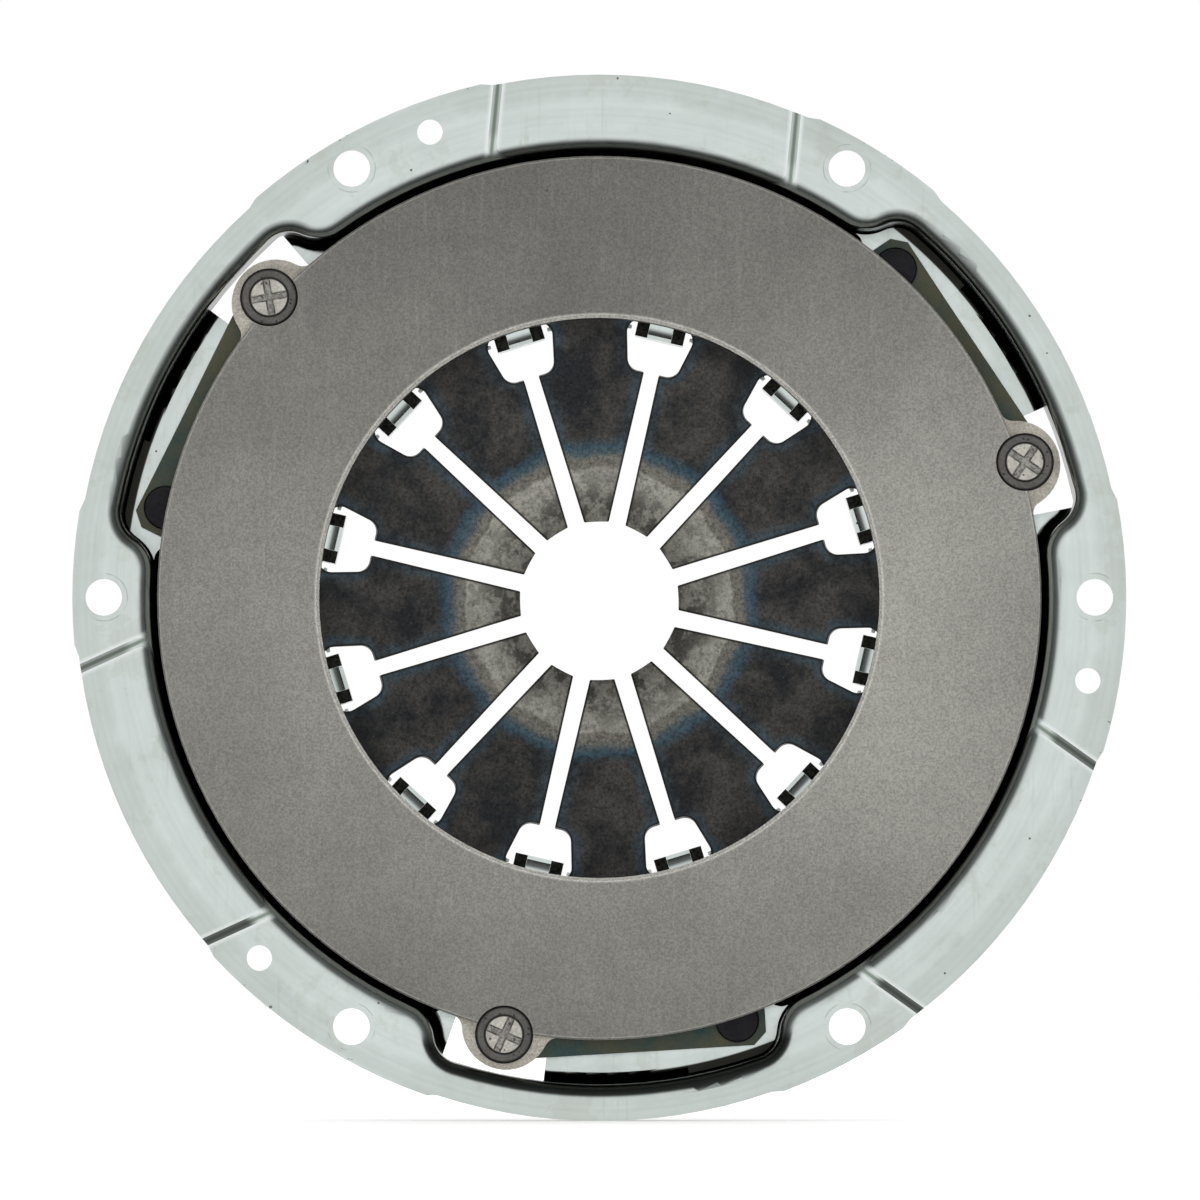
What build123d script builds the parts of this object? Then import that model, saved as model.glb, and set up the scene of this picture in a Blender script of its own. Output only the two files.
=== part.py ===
"""Clutch pressure plate (cover assembly) for a 200 mm dry clutch, shown unbolted, in its free state.

Frame: +X to the right, +Z up, the rotation axis along Y. The origin is the centre of the face that seats on
the flywheel, -Y points at the flywheel and +Y into the cover, so a "depth" below is a Y value.
Angles are counted from +X towards +Z, as seen from the flywheel. All lengths are in millimetres.
"""

from build123d import *
from math import asin, atan, atan2, cos, degrees, hypot, radians, sin, sqrt, tan
import os

# Cover: one deep-drawn steel pressing
sheet = 3.2  # thickness of the steel
cover_radius = 122.8
bend_inside = 0.6  # inner radius of every sharp bend
bowl_corner = 2.4  # inner radius where the wall turns into the back plate
hole_step = 2.2  # from the tabs' inner faces out to the centre hole's edge

# Cover: ears of the flange at the bolt holes
ear_height = 0.8  # past the rim between them
ear_spans = ((-36.0, -5.7), (31.5, 48.8))  # from each lug's angle
ear_ramp = 3.0  # length of an ear's sloping ends

# Cover: six bolt holes and three dowel holes in the flange
bolt_inset = 7.3  # from the ears' edge
bolt_count = 6
bolt_hole_radius = 4.3  # clearance for M8
dowel_hole_radius = 3.0
dowel_angles = (110.0, 226.7, 350.3)

# Cover: arcs of the flange set back from the flywheel
setback_angles = (84.5, 204.5, 324.5)
setback_half_width = 35.0  # across the arc's middle direction, to the middle of each step
setback_depth = 1.5
step_width = 2.0

# Cover: three pockets for the drive straps, each starting beside a lug
lug_angles = (17.7, 137.7, 257.7)
rim_width = 9.2  # from the ears' edge to the inner face of a pocket's wall
pocket_reach = 8.8  # from there to the inner face of the bowl's wall
pocket_gap = 6.11  # between a lug and the pocket's end
pocket_lean = 30.0  # of the end walls, from the radius
pocket_corner = 7.0
pocket_blend = 9.0  # where an end wall rounds into the bowl's wall
shelf_bend = 2.7  # inner radius where the pocket's wall turns into its shelf
shelf_gap = 2.5  # between the plate's thick body and the bowl where it turns back beside a shelf
shelf_margin = 0.6  # in degrees, that each end of the shelf stops short of the pocket's end
shelf_edge = 3.5  # seen along the axis, where its ends meet the bowl's wall
shelf_straight = 0.8  # seen along the axis, between that rounding and the shelf's inner corner
seat_depth = 21.4  # face of the raised seats that carry the straps
seat_reach = 13.4  # of a seat, in front of the cover rivet
seat_step = 1.0
window_gaps = (1.65, -0.13)  # from a lug's sides to the ends of the opening round it
tail_gap = 1.8  # between that opening's inner edge and the lug rivet's tail
tail_room = 0.7  # between the cover rivet's tail and the bowl's wall

# Diaphragm spring: one coned disc with fingers
spring_thickness = 2.3
rim_overhang = 2.5  # past the plate's ridge
spring_slope = 0.2  # rise of the free cone, per unit of radius
tip_radius = 19.0
curl_radius = 60.0  # of the fingers' curled tips
curl_reach = 11.0  # from the tips to where the curl begins
finger_count = 12
slot_angle = 17.05  # of the first slot
slot_width_root = 3.6
slot_width_tip = 4.1
eye_gap = 0.4  # between the wire rings and the eye at the root of each slot
eye_length = 12.1
eye_inner_width = 11.3
eye_outer_width = 17.4
eye_corner = 3.0

# Fulcrum: two wire rings, one each side of the spring
wire_radius = 1.8
fit = 0.05  # gap left at each contact of the spring

# Cover: a tab through each eye, its middle bent out over the front ring
tab_width = 11.5
tab_clearance = 1.2  # between a tab and the outer end of its eye
lip_width = 5.6
lip_overhang = 0.3  # past the wire's outside
horn_step = 1.4  # that the tab's straight corners stop behind the lip's front
relief_radius = 1.2  # of the notches beside each tab

# Pressure plate: one iron casting
face_depth = 4.8
plate_thickness = 15.2
plate_clearance = 1.6  # between the plate and the bowl's wall
face_overlap = 3.4  # that the face reaches inside the fulcrum
strap_clearance = 3.4  # between the straps and the thick body that carries the ridge
strap_gap = 2.4  # between the straps' front and the rim behind the lugs' faces
rim_step = 3.4  # that the rest of the rim is thinner than the body
relief_margins = (2.8, 6.2)  # in degrees, that the thinner rim reaches past each pocket
lip_room = 4.1  # round the tabs' lips
inner_chamfer = 0.7
outer_chamfer = 0.4
ridge_inset = 4.0  # from the body's outside
ridge_height = 2.8
ridge_crest = 1.5
ridge_width = 7.0
step_inset = 5.0  # from the ridge's foot in to the step round the lips
notch_width = 6.0  # of the gaps that divide the ridge, one in line with each slot
notch_floor = 0.6  # that a gap stays above the plate's back
lift_travel = 4.6
lip_clearance = 0.4  # left between the plate and the tabs at full lift

# Lugs and their rivets
lug_radius = 10.3
lug_clearance = 1.1  # between a lug and the pocket's wall
lug_root = 3.0
lug_pad_inset = 0.7  # of the raised pad on the lug's back, which the strap bears on
lug_face_drop = 2.1  # behind the friction face
rivet_offset = 2.1  # from the lug's centre outwards
spotface_cut = 0.4
spotface_gap = 0.4  # round the rivet's head
shank_radius = 3.2
rivet_gap = 0.05  # round each shank
lug_head_radius = 6.4
lug_head_height = 1.6
lug_disc_radius = 4.3
lug_disc_height = 0.4
disc_groove_width = 0.4
disc_groove_depth = 0.6
cross_width = 1.4
cross_depth = 0.7
cross_angles = (56.0, 10.0, 66.0)
lug_tail_radius = 5.5
lug_tail_height = 2.2
tail_dome = 1.2

# Drive straps: three packs of three spring steel leaves
leaf_count = 3
leaf_thickness = 0.78
leaf_pitch = 0.8
leaf_width = 12.0
leaf_end = 6.6  # past each rivet's centre
leaf_chamfer = 2.9
leaf_flat = 7.0  # that stays flat beside each rivet's centre
strap_skew = 0.5  # that the cover rivets lie further in than the lug rivets
cover_rivet_angle = 30.4  # from the lug's angle
cover_head_radius = 5.1
cover_head_height = 1.8
cover_head_chamfer = 0.3
cover_tail_radius = 4.8
cover_tail_height = 1.8

# Tools of this source
past = 60.0  # that a cutting tool reaches beyond the part
lead = 5.0  # that a cutting tool starts in front of it
nearby = 0.01  # within which a corner or an edge is found
wall_share = 0.95  # of a short wall that its roundings may take

# Worked out from the values above: radii, from the rim inwards
bend = sheet + bend_inside  # outer radius of the sharp bends
rim_radius = cover_radius - ear_height
bolt_circle = 2 * (cover_radius - bolt_inset)
pocket_radius = cover_radius - rim_width
bowl_radius = pocket_radius - pocket_reach
plate_radius = bowl_radius - plate_clearance
lug_centre_radius = pocket_radius - lug_clearance - lug_radius
lug_pad_radius = lug_radius - lug_pad_inset
lug_rivet_radius = lug_centre_radius + rivet_offset
cover_rivet_radius = lug_rivet_radius - strap_skew
strap_span = sqrt(lug_rivet_radius**2 + cover_rivet_radius**2
                  - 2 * lug_rivet_radius * cover_rivet_radius * cos(radians(cover_rivet_angle)))
strap_middle = lug_rivet_radius * cover_rivet_radius * sin(radians(cover_rivet_angle)) / strap_span
plate_body_radius = strap_middle - leaf_width / 2 - strap_clearance
shelf_inner_radius = plate_body_radius + shelf_gap
shelf_corner = bowl_radius - shelf_inner_radius - shelf_edge - shelf_straight
window_inner_radius = lug_rivet_radius - lug_tail_radius - tail_gap
spotface_radius = lug_head_radius + spotface_gap
ridge_radius = plate_body_radius - ridge_inset - ridge_width / 2
spring_radius = ridge_radius + rim_overhang
inner_step_radius = ridge_radius - ridge_width / 2 - step_inset
lip_radius = inner_step_radius - lip_room
pivot_radius = lip_radius - lip_overhang - wire_radius
plate_inner_radius = pivot_radius - face_overlap
eye_outer_radius = pivot_radius - wire_radius - eye_gap
eye_inner_radius = eye_outer_radius - eye_length
tab_inner_radius = eye_outer_radius - tab_clearance - sheet
centre_hole_radius = tab_inner_radius + hole_step
curl_start = tip_radius + curl_reach

# Worked out: angles, counted from a lug's
pocket_start = -degrees((lug_radius + pocket_gap) / lug_centre_radius)
window_start, window_end = (side * degrees((lug_radius + gap) / lug_centre_radius)
                            for side, gap in zip((-1, 1), window_gaps))
seat_start = cover_rivet_angle - degrees(seat_reach / cover_rivet_radius)
shelf_end = cover_rivet_angle + degrees((cover_tail_radius + tail_room + sheet) / cover_rivet_radius)
pocket_end = shelf_end + shelf_margin
relief_start = pocket_start - relief_margins[0]
relief_end = pocket_end + relief_margins[1]
pocket_wall = pocket_reach / cos(radians(pocket_lean))
blend_limit = wall_share * (pocket_wall / tan(radians((90 - pocket_lean) / 2)) - pocket_corner)
finger_pitch = 360 / finger_count
slot_angles = [slot_angle + finger_pitch * i for i in range(finger_count)]
cone = degrees(atan(spring_slope))
ear_lean = degrees(atan(ear_ramp / ear_height))

# Worked out: depths, from the flywheel backwards
plate_back = face_depth + plate_thickness
rim_back = plate_back - rim_step
lug_face_depth = face_depth + lug_face_drop
spotface_depth = lug_face_depth + spotface_cut
lug_head_depth = spotface_depth - lug_head_height
lug_disc_depth = lug_head_depth - lug_disc_height
pack = leaf_count * leaf_pitch
lug_back = seat_depth - pack - lift_travel
relieved_rim_back = lug_back - strap_gap
crest_depth = plate_back + ridge_height - ridge_crest
contact = (spring_thickness / 2 + wire_radius + fit) / cos(radians(cone))
pivot_depth = (crest_depth + (spring_thickness / 2 + ridge_crest + fit) / cos(radians(cone))
               + (ridge_radius - pivot_radius) * spring_slope)
back_ring_depth = pivot_depth + contact
front_ring_depth = pivot_depth - contact
back_depth = back_ring_depth + wire_radius + fit  # inner face of the back plate
lip_back = front_ring_depth - wire_radius - fit
lip_front = lip_back - sheet
inner_back = lip_front - lift_travel - lip_clearance


def facing(depth):
    """The plane across the rotation axis at a depth; it faces the flywheel, so extruding goes forwards."""
    return Plane.XZ.offset(-depth)


def polar(radius, angle):
    """A point of a facing plane, from its radius and angle."""
    return (radius * cos(radians(angle)), radius * sin(radians(angle)))


def sector(inner, outer, start, end, grow=0.0, lean=0.0):
    """A piece of a ring between two angles, its ends leaning from the radius and moved outwards by grow."""
    middle = (inner + outer) / 2

    def corner(radius, angle, side):
        line = radians(angle - side * lean)
        x = middle * cos(radians(angle)) - side * grow * sin(line)
        y = middle * sin(radians(angle)) + side * grow * cos(line)
        reach = x * cos(line) + y * sin(line)
        along = sqrt(reach**2 - x**2 - y**2 + radius**2) - reach
        return (x + along * cos(line), y + along * sin(line))

    half_way = (start + end) / 2
    with BuildSketch(mode=Mode.PRIVATE) as piece:
        with BuildLine():
            Line(corner(inner, start, -1), corner(outer, start, -1))
            ThreePointArc(corner(outer, start, -1), polar(outer, half_way), corner(outer, end, 1))
            Line(corner(outer, end, 1), corner(inner, end, 1))
            ThreePointArc(corner(inner, end, 1), polar(inner, half_way), corner(inner, start, -1))
        make_face()
    return piece.sketch


def corners_at(sketch, radius):
    """The sketch's corners that lie on a circle, without the seam of the circle itself."""
    on_circle = sketch.vertices().filter_by(lambda v: abs(hypot(v.X, v.Y) - radius) < nearby)
    return on_circle.filter_by(lambda v: abs(v.Y) > nearby)


def edges_at(part, depth):
    """The part's edges that lie in one plane across the rotation axis."""
    return part.edges().filter_by_position(Axis.Y, depth - nearby, depth + nearby)


def flange_outline():
    """The cover seen along the axis: a disc with ears at its bolt holes, their ends sloping to the rim."""
    with BuildSketch(mode=Mode.PRIVATE) as outline:
        Circle(rim_radius)
        for lug in lug_angles:
            for start, end in ear_spans:
                add(sector(rim_radius - ear_height, cover_radius, lug + start, lug + end, 0, ear_lean))
    return outline.sketch


def pressed_form(grow, front):
    """The space inside the cover's bowl and pockets: grow 0 gives the sheet's inner face, sheet its outer."""
    floor = seat_depth + seat_step + grow
    back = back_depth + grow
    with BuildPart() as form:
        with BuildSketch(facing(floor)) as pockets:
            Circle(bowl_radius + grow)
            for lug in lug_angles:
                start, end = lug + pocket_start, lug + pocket_end
                add(sector(bowl_radius - lead, pocket_radius + grow, start, end, grow, pocket_lean))
            fillet(corners_at(pockets, pocket_radius + grow), pocket_corner + grow)
            fillet(corners_at(pockets, bowl_radius + grow), min(pocket_blend, blend_limit) - grow)
        extrude(amount=floor - front)
        fillet(edges_at(form, floor), shelf_bend + grow)
        with BuildSketch(facing(floor + lead)):
            for lug in lug_angles:
                start, end = lug + seat_start, lug + pocket_end + pocket_lean
                add(sector(plate_inner_radius, pocket_radius + past, start, end, -grow))
        extrude(amount=lead + seat_step, mode=Mode.SUBTRACT)
        with BuildSketch(facing(back)) as bowl:
            Circle(bowl_radius + grow)
            for lug in lug_angles:
                start, end = lug + pocket_start + shelf_margin, lug + shelf_end
                shelf = sector(shelf_inner_radius + grow, bowl_radius + past, start, end, -grow)
                add(shelf, mode=Mode.SUBTRACT)
            fillet(corners_at(bowl, shelf_inner_radius + grow), shelf_corner - grow)
            fillet(corners_at(bowl, bowl_radius + grow), shelf_edge + grow)
        extrude(amount=back - (seat_depth - shelf_bend))
        fillet(edges_at(form, back), bowl_corner + grow)
    return form.part


def in_flange(edge):
    """Whether an edge lies inside the flange's outline, not on it."""
    spot = edge.position_at(0.3)
    return hypot(spot.X, spot.Z) < (pocket_radius + bend + rim_radius) / 2


def set_back_bars(front, back, shift=0.0):
    """The three set-back arcs as bars whose sides slope with the steps, from a front to a back depth."""
    run = step_width / setback_depth

    def half(depth):
        return setback_half_width + shift + (setback_depth / 2 - depth) * run

    with BuildPart() as bars:
        for angle in setback_angles:
            turn = radians(angle)
            sideways, inwards = (-sin(turn), 0, cos(turn)), (-cos(turn), 0, -sin(turn))
            across = Plane(origin=(0, 0, 0), x_dir=sideways, z_dir=inwards)
            with BuildSketch(across):
                with BuildLine():
                    Polyline((-half(front), front), (half(front), front), (half(back), back),
                             (-half(back), back), close=True)
                make_face()
            extrude(amount=-(cover_radius + past))
    return bars.part


def set_back_flange():
    """What is cut from the flange's front at the set-back arcs, following its rounded inner edge."""
    reach = cover_radius + past
    with BuildPart() as cut:
        with BuildSketch(Plane.XY):
            with BuildLine():
                Polyline((bowl_radius, bend + setback_depth), (bowl_radius, -lead), (reach, -lead),
                         (reach, setback_depth), (bowl_radius + bend, setback_depth))
                RadiusArc((bowl_radius + bend, setback_depth), (bowl_radius, bend + setback_depth), bend)
            make_face()
        revolve(axis=Axis.Y)
        add(set_back_bars(-lead, 2 * bend), mode=Mode.INTERSECT)
    return cut.part


def set_back_layer():
    """The steel that the same arcs gain behind the flange, so that the sheet keeps its thickness."""
    back = sheet + setback_depth
    with BuildPart() as layer:
        with BuildSketch(facing(back)):
            add(flange_outline())
            Circle(bowl_radius + sheet / 2, mode=Mode.SUBTRACT)
        extrude(amount=back - sheet / 2)
        slope = hypot(setback_depth, step_width) / setback_depth
        add(set_back_bars(sheet / 2, back, sheet * slope), mode=Mode.INTERSECT)
    return layer.part


def cover_tab():
    """One tab at angle 0, bent forwards from the back plate's rim, its middle bent out over a wire ring."""
    centre = tab_inner_radius + bend
    outside = tab_inner_radius + sheet
    root = back_depth + sheet
    horn_front = lip_front + horn_step
    with BuildPart() as tab:
        with BuildSketch(Plane.XY):
            with BuildLine():
                Line((centre, root), (centre, back_depth))
                RadiusArc((centre, back_depth), (outside, back_depth - bend_inside), -bend_inside)
                Polyline((outside, back_depth - bend_inside), (outside, horn_front),
                         (tab_inner_radius, horn_front), (tab_inner_radius, root - bend))
                RadiusArc((tab_inner_radius, root - bend), (centre, root), bend)
            make_face()
        extrude(amount=tab_width / 2, both=True)
        with BuildSketch(Plane.XY):
            with BuildLine():
                Polyline((tab_inner_radius, horn_front + sheet), (tab_inner_radius, lip_front + bend))
                RadiusArc((tab_inner_radius, lip_front + bend), (centre, lip_front), -bend)
                Polyline((centre, lip_front), (lip_radius, lip_front), (lip_radius, lip_back),
                         (centre, lip_back))
                RadiusArc((centre, lip_back), (outside, lip_back + bend_inside), bend_inside)
                Polyline((outside, lip_back + bend_inside), (outside, horn_front + sheet),
                         (tab_inner_radius, horn_front + sheet))
            make_face()
        extrude(amount=lip_width / 2, both=True)
    return tab.part


def turned(part, angle):
    """The part moved round the rotation axis from angle 0 to another angle."""
    return part.rotate(Axis.Y, -angle)


os.makedirs("parts", exist_ok=True)

# Cover
with BuildPart() as cover:
    with BuildSketch(facing(sheet)):
        add(flange_outline())
    extrude(amount=sheet)
    add(pressed_form(sheet, sheet / 2))
    add(pressed_form(0, -lead), mode=Mode.SUBTRACT)
    for depth, rounding in ((0, bend), (sheet, bend_inside)):
        rims = edges_at(cover, depth).filter_by(in_flange)
        fillet(rims, rounding)
    add(set_back_layer())
    add(set_back_flange(), mode=Mode.SUBTRACT)
    # Openings round the lugs, through the shelves
    with BuildSketch(facing(seat_depth + seat_step + sheet + lead)):
        for lug in lug_angles:
            add(sector(window_inner_radius, pocket_radius, lug + window_start, lug + window_end))
    extrude(amount=sheet + 2 * lead, mode=Mode.SUBTRACT)
    # Bolt, dowel and rivet holes
    with BuildSketch(facing(2 * sheet)):
        with PolarLocations(bolt_circle / 2, bolt_count):
            Circle(bolt_hole_radius)
        for angle in dowel_angles:
            with Locations(polar(bolt_circle / 2, angle)):
                Circle(dowel_hole_radius)
    extrude(amount=2 * sheet + lead, mode=Mode.SUBTRACT)
    with BuildSketch(facing(seat_depth + 2 * sheet)):
        for lug in lug_angles:
            with Locations(polar(cover_rivet_radius, lug + cover_rivet_angle)):
                Circle(shank_radius + rivet_gap)
    extrude(amount=3 * sheet, mode=Mode.SUBTRACT)
    # Centre hole, with a notch each side of every tab
    with BuildSketch(facing(back_depth + 2 * sheet)):
        Circle(centre_hole_radius)
        for angle in slot_angles:
            with BuildSketch(mode=Mode.PRIVATE) as notch:
                half_width = tab_width / 2 + relief_radius
                with Locations((tab_inner_radius + bend - lead, 0)):
                    Rectangle(2 * lead, 2 * half_width)
                with Locations((tab_inner_radius + bend, half_width), (tab_inner_radius + bend, -half_width)):
                    Circle(relief_radius)
            add(notch.sketch.rotate(Axis.Z, angle))
    extrude(amount=3 * sheet, mode=Mode.SUBTRACT)
    tab = cover_tab()
    for angle in slot_angles:
        add(turned(tab, angle))
cover.part.label = "cover"
export_step(cover.part, "parts/cover.step")

# Fulcrum rings
for name, depth in (("pivot_ring_front", front_ring_depth), ("pivot_ring_back", back_ring_depth)):
    with BuildPart() as ring:
        with BuildSketch(Plane.XY):
            with Locations((pivot_radius, depth)):
                Circle(wire_radius)
        revolve(axis=Axis.Y)
    ring.part.label = name
    export_step(ring.part, f"parts/{name}.step")


def spring_middle(radius):
    """Depth of the middle of the spring's thickness in its straight cone."""
    return pivot_depth + (pivot_radius - radius) * spring_slope


# Diaphragm spring
tip_angle = degrees(asin(sin(radians(cone)) + (curl_start - tip_radius) / curl_radius))
curl_centre = (curl_start + curl_radius * sin(radians(cone)),
               spring_middle(curl_start) + curl_radius * cos(radians(cone)))


def curled(offset, angle):
    """A point of the curled tips' section, offset backwards from the middle of its thickness."""
    reach = curl_radius - offset
    return (curl_centre[0] - reach * sin(radians(angle)), curl_centre[1] - reach * cos(radians(angle)))


with BuildPart() as diaphragm_spring:
    half = spring_thickness / 2
    bow = (cone + tip_angle) / 2
    across = (half * sin(radians(cone)), half * cos(radians(cone)))
    rim_depth = spring_middle(spring_radius)
    rim_front = (spring_radius - across[0], rim_depth - across[1])
    rim_rear = (spring_radius + across[0], rim_depth + across[1])
    with BuildSketch(Plane.XY):
        with BuildLine():
            Line(rim_front, rim_rear)
            Line(rim_rear, curled(half, cone))
            ThreePointArc(curled(half, cone), curled(half, bow), curled(half, tip_angle))
            Line(curled(half, tip_angle), curled(-half, tip_angle))
            ThreePointArc(curled(-half, tip_angle), curled(-half, bow), curled(-half, cone))
            Line(curled(-half, cone), rim_front)
        make_face()
    revolve(axis=Axis.Y)
    with BuildSketch(facing(back_depth + 4 * sheet)):
        for angle in slot_angles:
            with BuildSketch(mode=Mode.PRIVATE) as eye:
                with BuildLine():
                    Polyline((eye_inner_radius, -eye_inner_width / 2),
                             (eye_outer_radius, -eye_outer_width / 2),
                             (eye_outer_radius, eye_outer_width / 2),
                             (eye_inner_radius, eye_inner_width / 2), close=True)
                make_face()
                fillet(eye.vertices(), eye_corner)
            with BuildSketch(mode=Mode.PRIVATE) as slot:
                with BuildLine():
                    Polyline((0, -slot_width_tip / 2), (tip_radius, -slot_width_tip / 2),
                             (eye_inner_radius + eye_corner, -slot_width_root / 2),
                             (eye_inner_radius + eye_corner, slot_width_root / 2),
                             (tip_radius, slot_width_tip / 2), (0, slot_width_tip / 2), close=True)
                make_face()
            add(eye.sketch.rotate(Axis.Z, angle))
            add(slot.sketch.rotate(Axis.Z, angle))
    extrude(amount=back_depth + 4 * sheet, mode=Mode.SUBTRACT)
diaphragm_spring.part.label = "diaphragm_spring"
export_step(diaphragm_spring.part, "parts/diaphragm_spring.step")

# Pressure plate
with BuildPart() as pressure_plate:
    with BuildSketch(Plane.XY):
        with BuildLine():
            Polyline((plate_inner_radius + inner_chamfer, face_depth),
                     (plate_radius - outer_chamfer, face_depth),
                     (plate_radius, face_depth + outer_chamfer), (plate_radius, rim_back),
                     (plate_body_radius, rim_back), (plate_body_radius, plate_back),
                     (inner_step_radius, plate_back), (inner_step_radius, inner_back),
                     (plate_inner_radius, inner_back), (plate_inner_radius, face_depth + inner_chamfer),
                     close=True)
        make_face()
    revolve(axis=Axis.Y)
    # Ridge that carries the spring's rim, divided by gaps
    with BuildSketch(Plane.XY):
        with BuildLine():
            Polyline((ridge_radius - ridge_width / 2, inner_back),
                     (ridge_radius - ridge_width / 2, plate_back), (ridge_radius - ridge_crest, crest_depth),
                     (ridge_radius + ridge_crest, crest_depth), (ridge_radius + ridge_width / 2, plate_back),
                     (ridge_radius + ridge_width / 2, inner_back), close=True)
        make_face()
        with Locations((ridge_radius, crest_depth)):
            Circle(ridge_crest)
    revolve(axis=Axis.Y)
    with BuildSketch(facing(plate_back + lead)):
        for angle in slot_angles:
            with Locations(polar(ridge_radius, angle)):
                Rectangle(2 * ridge_width, notch_width, rotation=angle)
    extrude(amount=lead - notch_floor, mode=Mode.SUBTRACT)
    # The rim's back is lower behind the straps
    with BuildSketch(facing(rim_back + lead)):
        for lug in lug_angles:
            add(sector(plate_body_radius, plate_radius + past, lug + relief_start, lug + relief_end))
    extrude(amount=rim_back + lead - relieved_rim_back, mode=Mode.SUBTRACT)
    # Lugs
    with BuildSketch(facing(relieved_rim_back)) as web:
        Circle(plate_radius)
        for lug in lug_angles:
            with Locations(polar(lug_centre_radius, lug)):
                Circle(lug_radius)
        fillet(corners_at(web, plate_radius), lug_root)
        Circle(plate_body_radius - lead, mode=Mode.SUBTRACT)
    extrude(amount=relieved_rim_back - lug_face_depth)
    with BuildSketch(facing(lug_back)):
        for lug in lug_angles:
            with Locations(polar(lug_centre_radius, lug)):
                Circle(lug_pad_radius)
    extrude(amount=lug_back - lug_face_depth)
    with BuildSketch(facing(spotface_depth)):
        for lug in lug_angles:
            with Locations(polar(lug_rivet_radius, lug)):
                Circle(spotface_radius)
    extrude(amount=spotface_depth + lead, mode=Mode.SUBTRACT)
    with BuildSketch(facing(lug_back + lead)):
        for lug in lug_angles:
            with Locations(polar(lug_rivet_radius, lug)):
                Circle(shank_radius + rivet_gap)
    extrude(amount=lug_back + 2 * lead, mode=Mode.SUBTRACT)
pressure_plate.part.label = "pressure_plate"
export_step(pressure_plate.part, "parts/pressure_plate.step")

# Lug rivets
for i, (lug, cross) in enumerate(zip(lug_angles, cross_angles), 1):
    tail_front = lug_back + pack
    middle = polar(lug_rivet_radius, lug)
    with BuildPart() as lug_rivet:
        with BuildSketch(facing(tail_front + lug_tail_height)):
            with Locations(middle):
                Circle(lug_tail_radius)
        extrude(amount=lug_tail_height)
        fillet(edges_at(lug_rivet, tail_front + lug_tail_height), tail_dome)
        with BuildSketch(facing(tail_front)):
            with Locations(middle):
                Circle(shank_radius)
        extrude(amount=tail_front - spotface_depth)
        with BuildSketch(facing(spotface_depth)):
            with Locations(middle):
                Circle(lug_head_radius)
        extrude(amount=spotface_depth - lug_head_depth)
        with BuildSketch(facing(lug_head_depth)):
            with Locations(middle):
                Circle(lug_disc_radius)
        extrude(amount=lug_head_depth - lug_disc_depth)
        with BuildSketch(facing(lug_head_depth + disc_groove_depth)):
            with Locations(middle):
                Circle(lug_disc_radius + disc_groove_width)
                Circle(lug_disc_radius, mode=Mode.SUBTRACT)
        extrude(amount=disc_groove_depth, mode=Mode.SUBTRACT)
        with BuildSketch(facing(lug_disc_depth + cross_depth)):
            with Locations(middle):
                Rectangle(2 * lug_disc_radius, cross_width, rotation=cross)
                Rectangle(cross_width, 2 * lug_disc_radius, rotation=cross)
        extrude(amount=cross_depth, mode=Mode.SUBTRACT)
    lug_rivet.part.label = f"lug_rivet_{i}"
    export_step(lug_rivet.part, f"parts/lug_rivet_{i}.step")

# Cover rivets
for i, lug in enumerate(lug_angles, 1):
    seat_back = seat_depth + sheet
    middle = polar(cover_rivet_radius, lug + cover_rivet_angle)
    with BuildPart() as cover_rivet:
        with BuildSketch(facing(seat_back + cover_tail_height)):
            with Locations(middle):
                Circle(cover_tail_radius)
        extrude(amount=cover_tail_height)
        fillet(edges_at(cover_rivet, seat_back + cover_tail_height), tail_dome)
        with BuildSketch(facing(seat_back)):
            with Locations(middle):
                Circle(shank_radius)
        extrude(amount=sheet + pack)
        with BuildSketch(facing(seat_depth - pack)):
            with Locations(middle):
                Circle(cover_head_radius)
        extrude(amount=cover_head_height)
        chamfer(edges_at(cover_rivet, seat_depth - pack - cover_head_height), cover_head_chamfer)
    cover_rivet.part.label = f"cover_rivet_{i}"
    export_step(cover_rivet.part, f"parts/cover_rivet_{i}.step")


def leaf_face(start, end, offset):
    """The section of one face of a leaf, from the lug's end to the cover's: flat, S-bent, then flat."""
    front = lug_back + offset
    back = seat_depth - pack + offset
    middle = ((start + end) / 2, (front + back) / 2)
    Line((start - leaf_flat - 2 * lead, front), (start, front))
    TangentArc((start, front), middle, tangent=(1, 0))
    TangentArc((end, back), middle, tangent=(-1, 0))
    Line((end, back), (end + leaf_flat + 2 * lead, back))


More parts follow.
